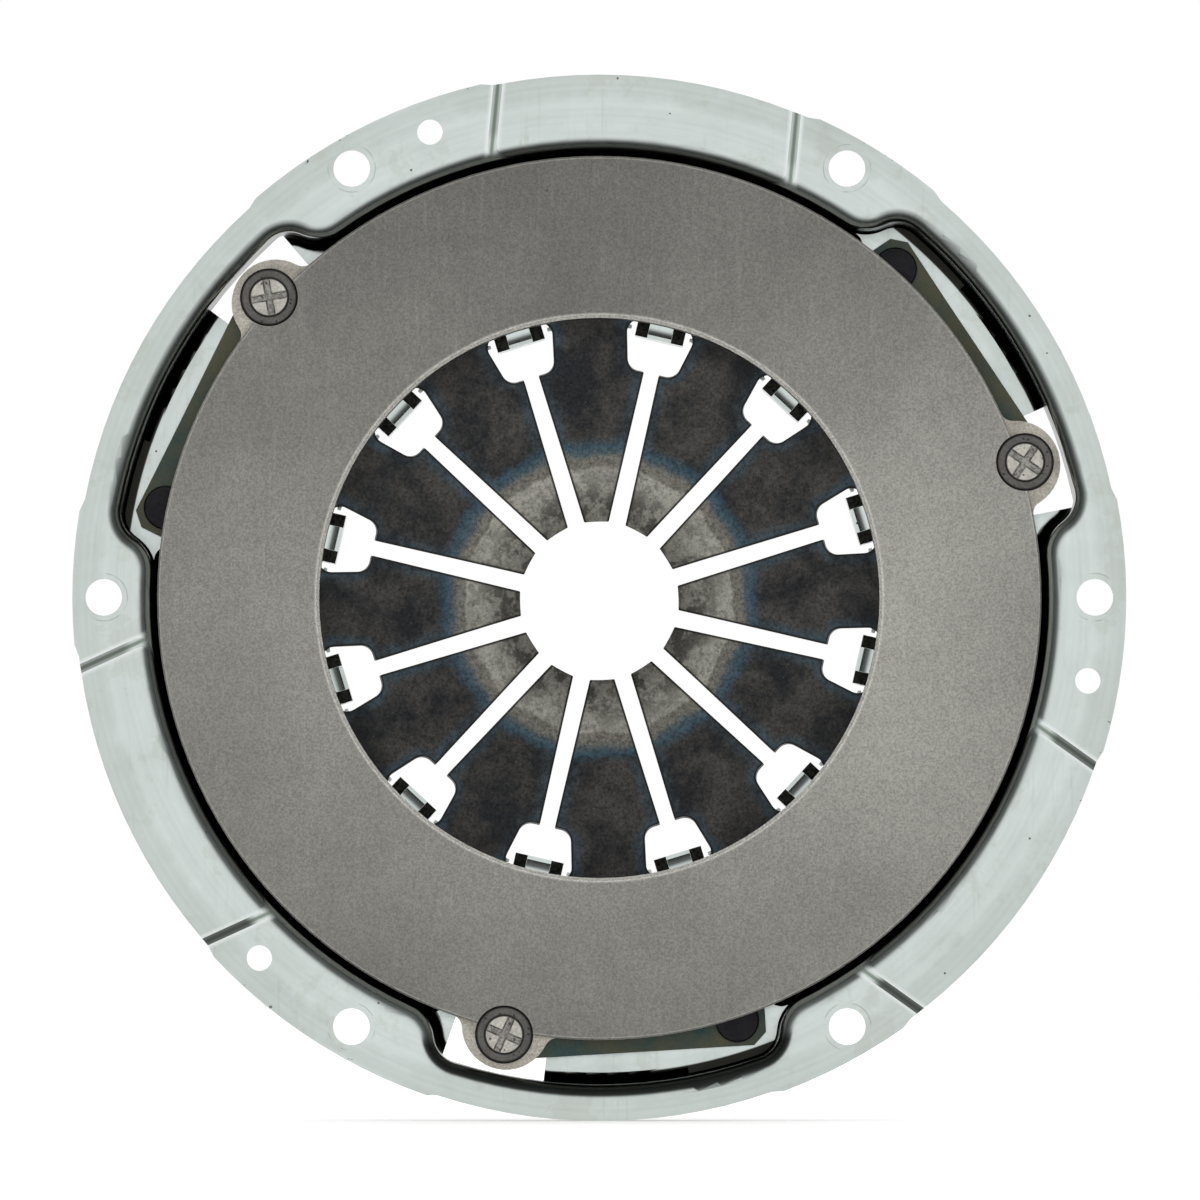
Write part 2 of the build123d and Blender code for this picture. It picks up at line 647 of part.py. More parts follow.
# Drive straps: every leaf is the same piece, turned to its lug and stacked behind the one before it
first = polar(lug_rivet_radius, 0)
last = polar(cover_rivet_radius, cover_rivet_angle)
heading = degrees(atan2(last[1] - first[1], last[0] - first[0]))
for i, lug in enumerate(lug_angles, 1):
    turn = radians(lug + heading)
    place = polar(lug_rivet_radius, lug)
    middle, ahead = (place[0], 0, place[1]), (cos(turn), 0, sin(turn))
    side = Plane(origin=middle, x_dir=ahead, z_dir=(-sin(turn), 0, cos(turn)))
    plan = Plane(origin=middle, x_dir=ahead, z_dir=(0, -1, 0))
    for j in range(leaf_count):
        front, back = j * leaf_pitch, j * leaf_pitch + leaf_thickness
        with BuildPart() as leaf:
            with BuildSketch(side):
                with BuildLine():
                    leaf_face(leaf_flat, strap_span - leaf_flat, front)
                    leaf_face(leaf_flat, strap_span - leaf_flat, back)
                    Line((-2 * lead, lug_back + front), (-2 * lead, lug_back + back))
                    Line((strap_span + 2 * lead, seat_depth - pack + front),
                         (strap_span + 2 * lead, seat_depth - pack + back))
                make_face()
            extrude(amount=leaf_width, both=True)
            with BuildSketch(plan):
                with BuildSketch(mode=Mode.PRIVATE) as outline:
                    with Locations((strap_span / 2, 0)):
                        Rectangle(strap_span + 2 * leaf_end, leaf_width)
                    chamfer(outline.vertices(), leaf_chamfer)
                add(outline.sketch)
                with Locations((0, 0), (strap_span, 0)):
                    Circle(shank_radius + rivet_gap, mode=Mode.SUBTRACT)
            extrude(amount=-back_depth, mode=Mode.INTERSECT)
        leaf.part.label = f"strap_{i}_leaf_{j + 1}"
        export_step(leaf.part, f"parts/strap_{i}_leaf_{j + 1}.step")
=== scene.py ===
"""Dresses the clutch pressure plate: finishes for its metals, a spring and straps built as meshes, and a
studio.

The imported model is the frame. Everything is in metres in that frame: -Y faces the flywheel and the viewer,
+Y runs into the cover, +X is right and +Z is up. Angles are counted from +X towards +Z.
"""

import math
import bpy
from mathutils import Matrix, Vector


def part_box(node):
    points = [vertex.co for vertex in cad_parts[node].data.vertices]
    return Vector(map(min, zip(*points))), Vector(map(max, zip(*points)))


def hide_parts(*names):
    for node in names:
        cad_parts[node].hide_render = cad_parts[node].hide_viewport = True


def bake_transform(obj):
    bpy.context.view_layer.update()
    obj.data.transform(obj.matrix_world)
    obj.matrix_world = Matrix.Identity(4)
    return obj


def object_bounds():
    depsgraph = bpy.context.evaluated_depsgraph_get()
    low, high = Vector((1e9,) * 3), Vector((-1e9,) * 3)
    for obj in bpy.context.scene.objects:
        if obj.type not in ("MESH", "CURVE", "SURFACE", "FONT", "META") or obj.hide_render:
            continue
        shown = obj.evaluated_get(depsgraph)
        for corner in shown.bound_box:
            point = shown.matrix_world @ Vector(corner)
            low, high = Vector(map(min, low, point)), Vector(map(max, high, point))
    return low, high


bl_info = {
    "name": "Clutch pressure plate",
    "version": (1, 0, 0),
    "blender": (4, 5, 0),
    "location": "View3D > Sidebar > Clutch",
    "description": "Dresses a clutch pressure plate and sets up a studio round it",
    "category": "Object",
}

import bpy
import numpy as np

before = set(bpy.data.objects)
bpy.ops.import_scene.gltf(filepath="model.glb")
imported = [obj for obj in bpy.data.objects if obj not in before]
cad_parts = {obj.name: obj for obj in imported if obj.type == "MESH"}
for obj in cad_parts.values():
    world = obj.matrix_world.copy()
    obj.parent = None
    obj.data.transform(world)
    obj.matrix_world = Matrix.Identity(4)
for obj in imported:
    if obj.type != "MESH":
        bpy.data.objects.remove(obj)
cad_low, cad_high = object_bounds()

MM = 0.001

# Features of the model that the finishes follow, in degrees and millimetres, with depths from the flywheel. A
# pair says where something begins and where it ends or is full. A lone depth is where one finish gives way to
# the next.

BOLT_HOLES = (0.0, 6, 115.5)  # angle of the first, count and radius
WASHER_PRINT = (5.4, 5.65)  # radii round a bolt hole
RIM_EDGE = (121.6, 122.4)  # radii
FLANGE_START = (105.4, 107.6)  # radii
FLANGE_WIDTH = (107.0, 122.0)  # radii
FLANGE_DEPTH = 2.6
SETBACKS = 3
SETBACK_ANGLE = 84.5
SETBACK_HALF_WIDTH = 35.0
# Painted light on the flange's steps spans the next two: the whole mark and its darker middle line.
STEP_SHADING_REACH = (2.2, 1.0)  # to each side of a step, as the next
STEP_SHADING_LINE = (0.7, 0.15)
# Shade is painted on the drawn walls and on the pockets' outer bends, darker on the lower bends.
WALL_RADII = (89.0, 91.0)
WALL_DEPTHS = (2.0, 4.0)
OUTSIDE_RADII = (80.0, 84.0)
POCKET_BEND = (109.0, 112.0)  # radii
BEND_DEPTHS = (3.4, 3.0)
BEND_HEIGHTS = (20.0, -60.0)
# Shade is painted on the pockets' feet and on the curves into their shelves.
POCKET_FOOT = (111.1, 115.2)  # radii
FOOT_DEPTHS = (8.0, 23.0)
SHELF_CURVE = (94.0, 98.0)  # radii
SHELF_DEPTHS = (17.5, 22.6)
LIP_RADIUS = 67.0
LIP_HALF_WIDTH = 2.85
HORN_DEPTHS = (20.2, 20.4)

LUG_ANGLES = (17.7, 137.7, 257.7)
LUG_DEPTH = 7.1
FACE_DEPTH = 5.6
FACE_WIDTH = (66.0, 100.0)  # radii
# Painted highlights on the friction face's edges spread over the next two.
FACE_INNER_HIGHLIGHT = (66.8, 65.7)  # radii
FACE_OUTER_HIGHLIGHT = (102.4, 102.9)  # radii
# Shade is painted in the spotface ring round each lug rivet.
SPOTFACE_RING = (6.2, 7.0)  # radii round a lug rivet
SPOTFACE_DEPTH = 7.0

LUG_RIVET_RADIUS = 104.3
LUG_RIVETS = (LUG_ANGLES[0], len(LUG_ANGLES), LUG_RIVET_RADIUS)  # angle of the first, count and radius
RIVET_HEAD_DEPTH = 9.0
# The rivet's rim and groove carry painted shade, and so do the sides of the cross's arms.
RIVET_RIM = (6.0, 6.3)  # radii from the rivet's middle, as the next two
RIVET_GROOVE = (4.2, 4.75)
RIVET_DISC = 4.35
CROSS_ANGLES = (56.0, 10.0, 66.0)
CROSS_HALF_WIDTH = 0.7
CROSS_SIDES = (0.6, 0.92)  # from an arm's middle
CROSS_ENDS = (4.3, 4.1)  # radii from the rivet's middle

SLOTS = 12
SLOT_ANGLE = 17.05
PAINTED_SHADOW_REACH = (58.0, 66.0)  # from the axis along a finger, as the next six
BLUE_REACH = (39.0, 35.2)
BLUE_FADE = (36.8, 34.0)
GREY_REACH = (34.9, 33.3)
BARE_REACH = (31.9, 31.0)
TIP_REACH = (19.0, 31.5)
BLOT_REACH = (32.0, 22.0)
BLUE_EDGE = (3.8, 0.4)  # in from a cut edge, as the next
BORDER_WIDTH = (0.7, 0.35)

LEAVES = 3  # in a pack

LAMPS = (  # name, place in metres, size in metres and share of the lamps' radiance
    ("key", (-1.4, -2.2, 1.3), 1.6, 1.0),
    ("fill", (1.8, -2.0, 0.4), 1.4, 0.5),
    ("top", (0.2, 0.3, 2.2), 1.5, 0.7),
    ("back", (0.9, 2.2, 0.9), 1.6, 0.8),
)
AMBIENT = (0.85, 0.85, 0.85)
MIRRORED_SIDES = (0.0, 0.45, 0.03, 0.12)  # how squarely before or behind from and to, and how bright there
MIRRORED_PANEL = (0.50, 0.98, 0.0, 0.88)  # the same, laid over the sides


def tone(red, green, blue):
    """A colour as it looks on screen, from 0 to 255 each, turned into light."""
    shown = np.array((red, green, blue)) / 255
    return tuple(np.where(shown < 0.04045, shown / 12.92, ((shown + 0.055) / 1.055) ** 2.4))


# Settings


def colour(label, text, *shown):
    """A colour setting with its default as shown on screen."""
    return bpy.props.FloatVectorProperty(
        name=label, description=text, subtype="COLOR", size=3, min=0, max=1, default=tone(*shown))


def length(label, text, default):
    """A length setting, with its default in millimetres."""
    return bpy.props.FloatProperty(
        name=label, description=text, unit="LENGTH", precision=5, default=default * MM)


def number(label, text, default):
    """A setting without a unit of length."""
    return bpy.props.FloatProperty(name=label, description=text, default=default)


class ClutchFinishes(bpy.types.PropertyGroup):
    """Colours of the finishes."""

    zinc: colour("Zinc", "Bright zinc plate of the cover", 220, 229, 226)
    zinc_dull: colour("Dull zinc", "Clouds in the zinc plate", 184, 191, 187)
    # Drawn zinc is painted shade: the dark tone laid on the drawn walls and the pockets' outer bends.
    wall_shade_tone: colour("Drawn zinc", "Dull plating on the drawn walls of the cover", 58, 62, 58)
    # The next two are painted light on the flange's steps: a darker line in the middle and highlights at the
    # sides.
    step_painted_shading: colour("Crease", "Middle line of the steps in the flange", 148, 164, 151)
    step_painted_highlight: colour("Crease side", "Rubbed sides of the steps in the flange", 231, 238, 236)
    stain: colour("Stain", "Faint olive stains on the zinc", 168, 168, 148)
    # Cut steel is also the painted shade in the pockets' feet, on the tabs' horns and round the lug rivets.
    cut: colour("Cut steel", "Sheared ends of the cover's tabs", 40, 40, 37)
    nick: colour("Nick", "Dark nicks and specks where a finish is broken", 52, 46, 40)
    ground_iron: colour("Ground iron", "Friction face of the pressure plate", 140, 139, 133)
    # Edge iron is the painted highlight on the friction face's chamfered edges, and also the colour of its
    # scratches.
    edge_highlight_and_scratch: colour("Edge iron", "Bright edges of the friction face", 236, 234, 226)
    cast_iron: colour("Cast iron", "Unground skin of the casting", 84, 80, 74)
    lug_iron: colour("Lug iron", "Machined faces of the lugs", 200, 195, 184)
    spring: colour("Spring steel", "Dark skin of the diaphragm spring", 42, 43, 45)
    spring_brown: colour("Spring brown", "Brown clouds on the spring", 74, 72, 69)
    spring_blue: colour("Spring blue", "Blued band beside the tips and along cut edges", 62, 92, 108)
    spring_grey: colour("Spring grey", "Band between the blue and the bare tips", 116, 114, 106)
    spring_tip: colour("Spring tip", "Bare grey tips of the fingers", 170, 168, 158)
    strap: colour("Strap steel", "Dark green-grey of the straps", 62, 80, 78)
    strap_olive: colour("Strap olive", "Olive bands on the straps", 92, 90, 72)
    rivet_ring: colour("Rivet ring", "Ring head of the lug rivets", 100, 98, 95)
    rivet_disc: colour("Rivet disc", "Petals between the arms of the pressed cross", 198, 195, 186)
    rivet_black: colour("Black rivet", "Blackened cover rivets", 42, 41, 45)
    wire: colour("Wire", "Fulcrum rings", 110, 110, 108)


class ClutchSpring(bpy.types.PropertyGroup):
    """Sizes of the diaphragm spring."""

    thickness: length("Thickness", "Thickness of the steel", 2.3)
    rim_radius: length("Rim radius", "Outer radius of the spring", 86.0)
    tip_radius: length("Tip radius", "Radius of the bore between the finger tips", 19.0)
    pivot_radius: length("Pivot radius", "Radius of the fulcrum rings", 68.8)
    pivot_depth: length("Pivot depth", "Middle of the thickness at the fulcrum", 27.0)
    slope: number("Slope", "Rise of the free cone over its radius", 0.2)
    curl_start: length("Curl start", "Radius where the tips begin to curl", 30.0)
    curl_radius: length("Curl radius", "Radius of the curled tips", 60.0)
    slot_root: length("Slot at the eye", "Width of a slot where it meets its eye", 3.6)
    slot_tip: length("Slot at the tip", "Width of a slot at the tips", 4.1)
    eye_inner: length("Eye inner radius", "Where an eye begins", 54.5)
    eye_outer: length("Eye outer radius", "Where an eye ends", 66.6)
    eye_inner_width: length("Eye inner width", "Width of an eye at its inner end", 11.3)
    eye_outer_width: length("Eye outer width", "Width of an eye at its outer end", 17.4)
    eye_corner: length("Eye corner", "Radius of an eye's corners", 3.0)
    edge: length("Edge rounding", "Rounding of the cut edges", 0.22)
    first_slot: number("First slot", "Angle of the first slot in degrees", SLOT_ANGLE)
    fingers: bpy.props.IntProperty(
        name="Fingers", description="How many fingers the spring has", default=SLOTS)


class ClutchStraps(bpy.types.PropertyGroup):
    """Sizes of the drive straps."""

    lug_rivet_radius: length("Lug rivet radius", "Radius on which the lug rivets stand", LUG_RIVET_RADIUS)
    cover_rivet_radius: length("Cover rivet radius", "Radius on which the cover rivets stand", 103.8)
    cover_rivet_angle: number(
        "Cover rivet angle", "From the lug's angle to the cover rivet's, in degrees", 30.4)
    width: length("Width", "Width of a leaf", 12.0)
    thickness: length("Thickness", "Thickness of a leaf", 0.78)
    end: length("End", "What a leaf has past each rivet's centre", 6.6)
    chamfer: length("Chamfer", "Cut of a leaf's corners", 2.9)
    flat: length("Flat", "What stays flat beside each rivet's centre", 7.0)
    edge: length("Edge rounding", "Rounding of the cut edges", 0.08)


class ClutchStage(bpy.types.PropertyGroup):
    """The camera, the floor and the light."""

    distance: length("Distance", "From the camera to the flange", 3500.0)
    elevation: number("Elevation", "Height of the camera in degrees", -1.3)
    view_width: length("View width", "Width of the picture at the flange", 279.6)
    aim_right: length("Aim right", "How far right of the axis the camera aims", 0.16)
    aim_up: length("Aim up", "How far above the axis the camera aims", -0.65)
    floor: colour("Floor", "Colour of the floor", 244, 244, 243)
    lamp: number("Lamp", "Radiance of the soft lamps", 1.0)


# Wiring of node trees


def connect(tree, node, inputs):
    """Puts values, or other nodes' outputs, at a node's inputs."""
    for name, value in inputs.items():
        if isinstance(value, bpy.types.NodeSocket):
            tree.links.new(value, node.inputs[name])
        else:
            node.inputs[name].default_value = value


def feed(tree, node, **inputs):
    """Puts values, or other nodes' outputs, at a node's inputs, whose names have _ for each space."""
    connect(tree, node, {label.replace("_", " "): value for label, value in inputs.items()})


def wire(tree, kind, inputs=None, **settings):
    """A shader node with its settings and its inputs."""
    node = tree.nodes.new("ShaderNode" + kind)
    for name, value in settings.items():
        setattr(node, name, value)
    connect(tree, node, inputs or {})
    return node


def calc(tree, operation, *values):
    """The output of one Math node."""
    return wire(tree, "Math", dict(enumerate(values)), operation=operation).outputs[0]


def split(tree, vector):
    """The X, Y and Z of a vector."""
    return wire(tree, "SeparateXYZ", {0: vector}).outputs


def join(tree, x, y, z=0.0):
    """A vector made of its X, Y and Z."""
    return wire(tree, "CombineXYZ", {0: x, 1: y, 2: z}).outputs[0]


def product(tree, first, *others):
    """Several values multiplied together."""
    for other in others:
        first = calc(tree, "MULTIPLY", first, other)
    return first


def largest(tree, first, *others):
    """The largest of several values."""
    for other in others:
        first = calc(tree, "MAXIMUM", first, other)
    return first


def mix(tree, factor, low, high, mode="MIX"):
    """One colour laid over another by a factor."""
    sides = [side if isinstance(side, bpy.types.NodeSocket) else (*side, 1) for side in (low, high)]
    node = wire(tree, "Mix", {0: factor, 6: sides[0], 7: sides[1]}, data_type="RGBA", blend_type=mode)
    return node.outputs[2]


def span(tree, value, low, high, out_low=0.0, out_high=1.0):
    """A value between two limits, spread smoothly over another two."""
    inputs = {"Value": value, "From Min": low, "From Max": high, "To Min": out_low, "To Max": out_high}
    return wire(tree, "MapRange", inputs, interpolation_type="SMOOTHSTEP").outputs["Result"]


def noise(tree, place, scale, detail=3.0, roughness=0.5, distortion=0.0):
    """Noise over a place in millimetres, with its scale in waves per millimetre."""
    inputs = {"Vector": place, "Scale": scale, "Detail": detail, "Roughness": roughness,
              "Distortion": distortion}
    return wire(tree, "TexNoise", inputs).outputs["Fac"]


def new_group(name, takes, gives):
    """An empty shader node group with named sockets, what it takes and the node for what it gives."""
    group = bpy.data.node_groups.new(name, "ShaderNodeTree")
    for label, kind, default in takes:
        socket = group.interface.new_socket(label, in_out="INPUT", socket_type="NodeSocket" + kind)
        if default is not None:
            socket.default_value = default
    for label, kind in gives:
        group.interface.new_socket(label, in_out="OUTPUT", socket_type="NodeSocket" + kind)
    return group, group.nodes.new("NodeGroupInput").outputs, group.nodes.new("NodeGroupOutput")


def new_mask_group(name, **takes):
    """An empty shader node group that makes a mask out of a place and some numbers."""
    numbers = ((label, "Float", default) for label, default in takes.items())
    return new_group(name, (("Place", "Vector", None), *numbers), (("Mask", "Float"),))


def use(tree, name, **inputs):
    """The outputs of a node group placed in a tree."""
    return wire(tree, "Group", inputs, node_tree=bpy.data.node_groups[name]).outputs


def make_axis_place():
    """Axis place: a point's place in millimetres, its radius from the axis and its depth along it."""
    group, _, gives = new_group(
        "Axis place", (), (("Place", "Vector"), ("Radius", "Float"), ("Depth", "Float")))
    spot = wire(group, "TexCoord").outputs["Object"]
    place = wire(group, "VectorMath", {0: spot, "Scale": 1 / MM}, operation="SCALE").outputs[0]
    parts = split(group, place)
    flat = join(group, parts["X"], 0.0, parts["Z"])
    radius = wire(group, "VectorMath", {0: flat}, operation="LENGTH").outputs["Value"]
    feed(group, gives, Place=place, Radius=radius, Depth=parts["Y"])


def make_turn_place():
    """Turn place: a point's place in the axes of the nearest of several like features round the axis.

    The angle is folded into one pitch round the feature's middle. The radius times the folded angle's cosine
    is the way outwards, and times its sine the way along.
    """
    group, takes, gives = new_group(
        "Turn place", (("Middle", "Float", 0.0), ("Count", "Float", 3.0)),
        (("Outwards", "Float"), ("Along", "Float")))
    spot = use(group, "Axis place")
    parts = split(group, spot["Place"])
    angle = calc(group, "DEGREES", calc(group, "ARCTAN2", parts["Z"], parts["X"]))
    pitch = calc(group, "DIVIDE", 360.0, takes["Count"])
    half = calc(group, "DIVIDE", pitch, 2.0)
    shifted = calc(group, "ADD", calc(group, "SUBTRACT", angle, takes["Middle"]), half)
    folded = calc(group, "SUBTRACT", calc(group, "FLOORED_MODULO", shifted, pitch), half)
    turn = calc(group, "RADIANS", folded)
    outwards, along = (product(group, spot["Radius"], calc(group, part, turn)) for part in ("COSINE", "SINE"))
    feed(group, gives, Outwards=outwards, Along=along)


def make_tilt():
    """Tilt: how squarely a surface faces along the axis, from 0 to 1, and how far inwards, from -1 to 1."""
    group, _, gives = new_group("Tilt", (), (("Square", "Float"), ("Inwards", "Float")))
    spots = wire(group, "TexCoord").outputs
    facing = split(group, spots["Normal"])
    place = split(group, spots["Object"])
    flat = join(group, place["X"], 0.0, place["Z"])
    outwards = wire(group, "VectorMath", {0: flat}, operation="NORMALIZE").outputs[0]
    both = {0: spots["Normal"], 1: outwards}
    along = wire(group, "VectorMath", both, operation="DOT_PRODUCT").outputs["Value"]
    feed(group, gives, Square=calc(group, "ABSOLUTE", facing["Y"]), Inwards=product(group, along, -1.0))


def make_clouds():
    """Clouds: two sizes of soft noise laid together, pulled apart by a contrast."""
    group, takes, gives = new_mask_group("Clouds", Scale=0.03, Contrast=2.0)
    large = noise(group, takes["Place"], takes["Scale"], 4.0, 0.55, 0.4)
    small = noise(group, takes["Place"], product(group, takes["Scale"], 5.3), 3.0, 0.6)
    both = calc(group, "ADD", product(group, large, 0.7), product(group, small, 0.3))
    pulled = calc(group, "MULTIPLY_ADD", calc(group, "SUBTRACT", both, 0.5), takes["Contrast"], 0.5)
    feed(group, gives, Mask=wire(group, "Clamp", {"Value": pulled}).outputs[0])


def make_specks():
    """Specks: scattered round dots, some cells of a cell pattern having one and most having none."""
    group, takes, gives = new_mask_group("Specks", Scale=0.4, Size=0.2, Share=0.1)
    cells = wire(group, "TexVoronoi", {"Vector": takes["Place"], "Scale": takes["Scale"]}).outputs
    wobble = noise(group, takes["Place"], 2.5, 2.0)
    reach = product(group, takes["Size"], calc(group, "ADD", wobble, 0.5))
    inside = calc(group, "LESS_THAN", cells["Distance"], reach)
    draw = wire(group, "SeparateColor", {0: cells["Color"]}).outputs[0]
    chosen = calc(group, "LESS_THAN", draw, takes["Share"])
    feed(group, gives, Mask=product(group, inside, chosen))


def make_scratches():
    """Scratches: noise drawn out along one direction and cut to its thin peaks, twice at crossed angles."""
    group, takes, gives = new_mask_group("Scratches", Scale=0.6, Share=0.3)
    cuts = []
    for turn in (0.6, 1.9):
        inputs = {"Vector": takes["Place"], "Rotation": (0, turn, 0), "Scale": (1.0, 1.0, 0.06)}
        drawn = wire(group, "Mapping", inputs).outputs[0]
        peaks = noise(group, drawn, takes["Scale"], 2.0, 0.7)
        cuts.append(span(group, peaks, calc(group, "SUBTRACT", 0.8, takes["Share"]), 0.85))
    feed(group, gives, Mask=largest(group, *cuts))


def finish(name, **values):
    """A new material, with its tree and its Principled shader, on which plain values are set."""
    material = bpy.data.materials.new(name)
    material.use_nodes = True
    tree = material.node_tree
    shader = tree.nodes["Principled BSDF"]
    feed(tree, shader, **values)
    return material, tree, shader


def bump(tree, shader, height, distance):
    """Relief from a height between 0 and 1, at a distance in millimetres."""
    relief = wire(tree, "Bump", {"Height": height, "Distance": distance * MM, "Strength": 1.0})
    feed(tree, shader, Normal=relief.outputs[0])


def put_on(material, *nodes):
    """Gives CAD nodes a material."""
    for name in nodes:
        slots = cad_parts[name].data.materials
        slots.clear()
        slots.append(material)


# Finishes


def mask(tree, name, place, **inputs):
    """The mask that a node group lays over a place in millimetres."""
    return use(tree, name, Place=place, **inputs)["Mask"]


def shaded(tree, base, shade):
    """A colour multiplied by a shade of grey."""
    return mix(tree, 1.0, base, join(tree, shade, shade, shade), "MULTIPLY")


def within(tree, value, low, high, soft=0.05):
    """One where a value lies between two limits, with soft ends."""
    above = span(tree, value, low - soft, low + soft)
    below = span(tree, value, high + soft, high - soft)
    return product(tree, above, below)


def vary(tree, waves, low, high):
    """Noise spread over two limits. Nearly all of it lies between 0.3 and 0.7."""
    return span(tree, waves, 0.3, 0.7, low, high)


def grained(tree, shader, base, grain, roughness, relief):
    """Gives a shader its colour, and a roughness between two limits and a relief that follow a grain."""
    feed(tree, shader, Base_Color=base, Roughness=vary(tree, grain, *roughness))
    bump(tree, shader, grain, relief)


def turned_offset(tree, middle, count, radius):
    """A point's place from the nearest of several like centres round the axis: outwards, and along."""
    place = use(tree, "Turn place", Middle=middle, Count=count)
    outwards = calc(tree, "SUBTRACT", place["Outwards"], radius)
    return join(tree, outwards, place["Along"])


def turned_distance(tree, middle, count, radius):
    """How far a point is from the nearest of several like centres round the axis, in millimetres."""
    offset = turned_offset(tree, middle, count, radius)
    return wire(tree, "VectorMath", {0: offset}, operation="LENGTH").outputs["Value"]


def zinc_plate(tree, spot, tones):
    """Colour of whole zinc plate: clouds, faint turned bands and olive stains, and darker towards the rim."""
    clouds = mask(tree, "Clouds", spot["Place"], Scale=0.03, Contrast=2.0)
    bright = span(tree, spot["Radius"], *FLANGE_WIDTH, 1.0, 0.35)
    share = calc(tree, "ADD", product(tree, clouds, 0.6), product(tree, bright, 0.4))
    base = mix(tree, share, tones.zinc_dull, tones.zinc)
    turned = join(tree, spot["Radius"], product(tree, clouds, 3.0))
    base = shaded(tree, base, vary(tree, noise(tree, turned, 0.35, 3.0), 0.92, 1.03))
    stains = mask(tree, "Clouds", spot["Place"], Scale=0.07, Contrast=5.0)
    return mix(tree, span(tree, stains, 0.7, 1.0, 0.0, 0.16), base, tones.stain)


def zinc_damage(tree, spot):
    """Where the plate is broken: specks, scratches, nicks along the rim and prints of the bolts' washers."""
    specks = mask(tree, "Specks", spot["Place"], Scale=0.25, Size=0.07, Share=0.15)
    scratches = mask(tree, "Scratches", spot["Place"], Scale=0.5, Share=0.2)
    rough = span(tree, noise(tree, spot["Place"], 0.35, 4.0, 0.7), 0.62, 0.68)
    nicks = product(tree, span(tree, spot["Radius"], *RIM_EDGE), rough)
    ring = within(tree, turned_distance(tree, *BOLT_HOLES), *WASHER_PRINT, 0.12)
    prints = product(tree, ring, span(tree, noise(tree, spot["Place"], 0.16, 3.0), 0.48, 0.6, 0.0, 0.3))
    return largest(tree, product(tree, specks, 0.7), product(tree, scratches, 0.12), nicks, prints)


def painted_step_mask(tree, spot):
    """Where light is painted on the steps ending the set-back arcs, and how far from a step a point is."""
    arcs = use(tree, "Turn place", Middle=SETBACK_ANGLE, Count=SETBACKS)
    along = calc(tree, "ABSOLUTE", arcs["Along"])
    beside = calc(tree, "ABSOLUTE", calc(tree, "SUBTRACT", along, SETBACK_HALF_WIDTH))
    flange = product(tree, span(tree, spot["Radius"], *FLANGE_START),
                     calc(tree, "LESS_THAN", spot["Depth"], FLANGE_DEPTH))
    return product(tree, span(tree, beside, *STEP_SHADING_REACH), flange), beside


def painted_wall_shade(tree, spot, tilt):
    """Where shade is painted on the drawn walls, and on the pockets' outer bends, darker the lower they lie.
    """
    walls = product(tree, span(tree, tilt["Square"], 0.99, 0.97), span(tree, tilt["Inwards"], 0.05, 0.15),
                    span(tree, spot["Radius"], *WALL_RADII), span(tree, spot["Depth"], *WALL_DEPTHS))
    up = split(tree, spot["Place"])["Z"]
    bends = product(tree, span(tree, tilt["Square"], 0.985, 0.93), span(tree, spot["Radius"], *POCKET_BEND),
                    span(tree, up, *BEND_HEIGHTS, 0.3, 0.88), span(tree, spot["Depth"], *BEND_DEPTHS))
    return largest(tree, product(tree, walls, 0.96), bends)


def painted_corner_shade(tree, spot, tilt):
    """Painted shade where little light reaches: the pockets' outer walls' feet and the curves into their
    shelves.
    """
    feet = product(tree, within(tree, spot["Radius"], *POCKET_FOOT, 0.2),
                   within(tree, spot["Depth"], *FOOT_DEPTHS, 0.5))
    curves = product(tree, span(tree, tilt["Square"], 0.985, 0.95), span(tree, tilt["Inwards"], 0.02, 0.08),
                     span(tree, spot["Radius"], *SHELF_CURVE),
                     within(tree, spot["Depth"], *SHELF_DEPTHS, 0.5))
    return largest(tree, feet, curves)


def tab_horns(tree, spot):
    """The sheared corners beside the lips of the cover's tabs, painted nearly black as cut steel and painted
    shade.
    """
    tabs = use(tree, "Turn place", Middle=SLOT_ANGLE, Count=SLOTS)
    beside = calc(tree, "GREATER_THAN", calc(tree, "ABSOLUTE", tabs["Along"]), LIP_HALF_WIDTH)
    inner = calc(tree, "LESS_THAN", spot["Radius"], LIP_RADIUS)
    return product(tree, inner, within(tree, spot["Depth"], *HORN_DEPTHS), beside)


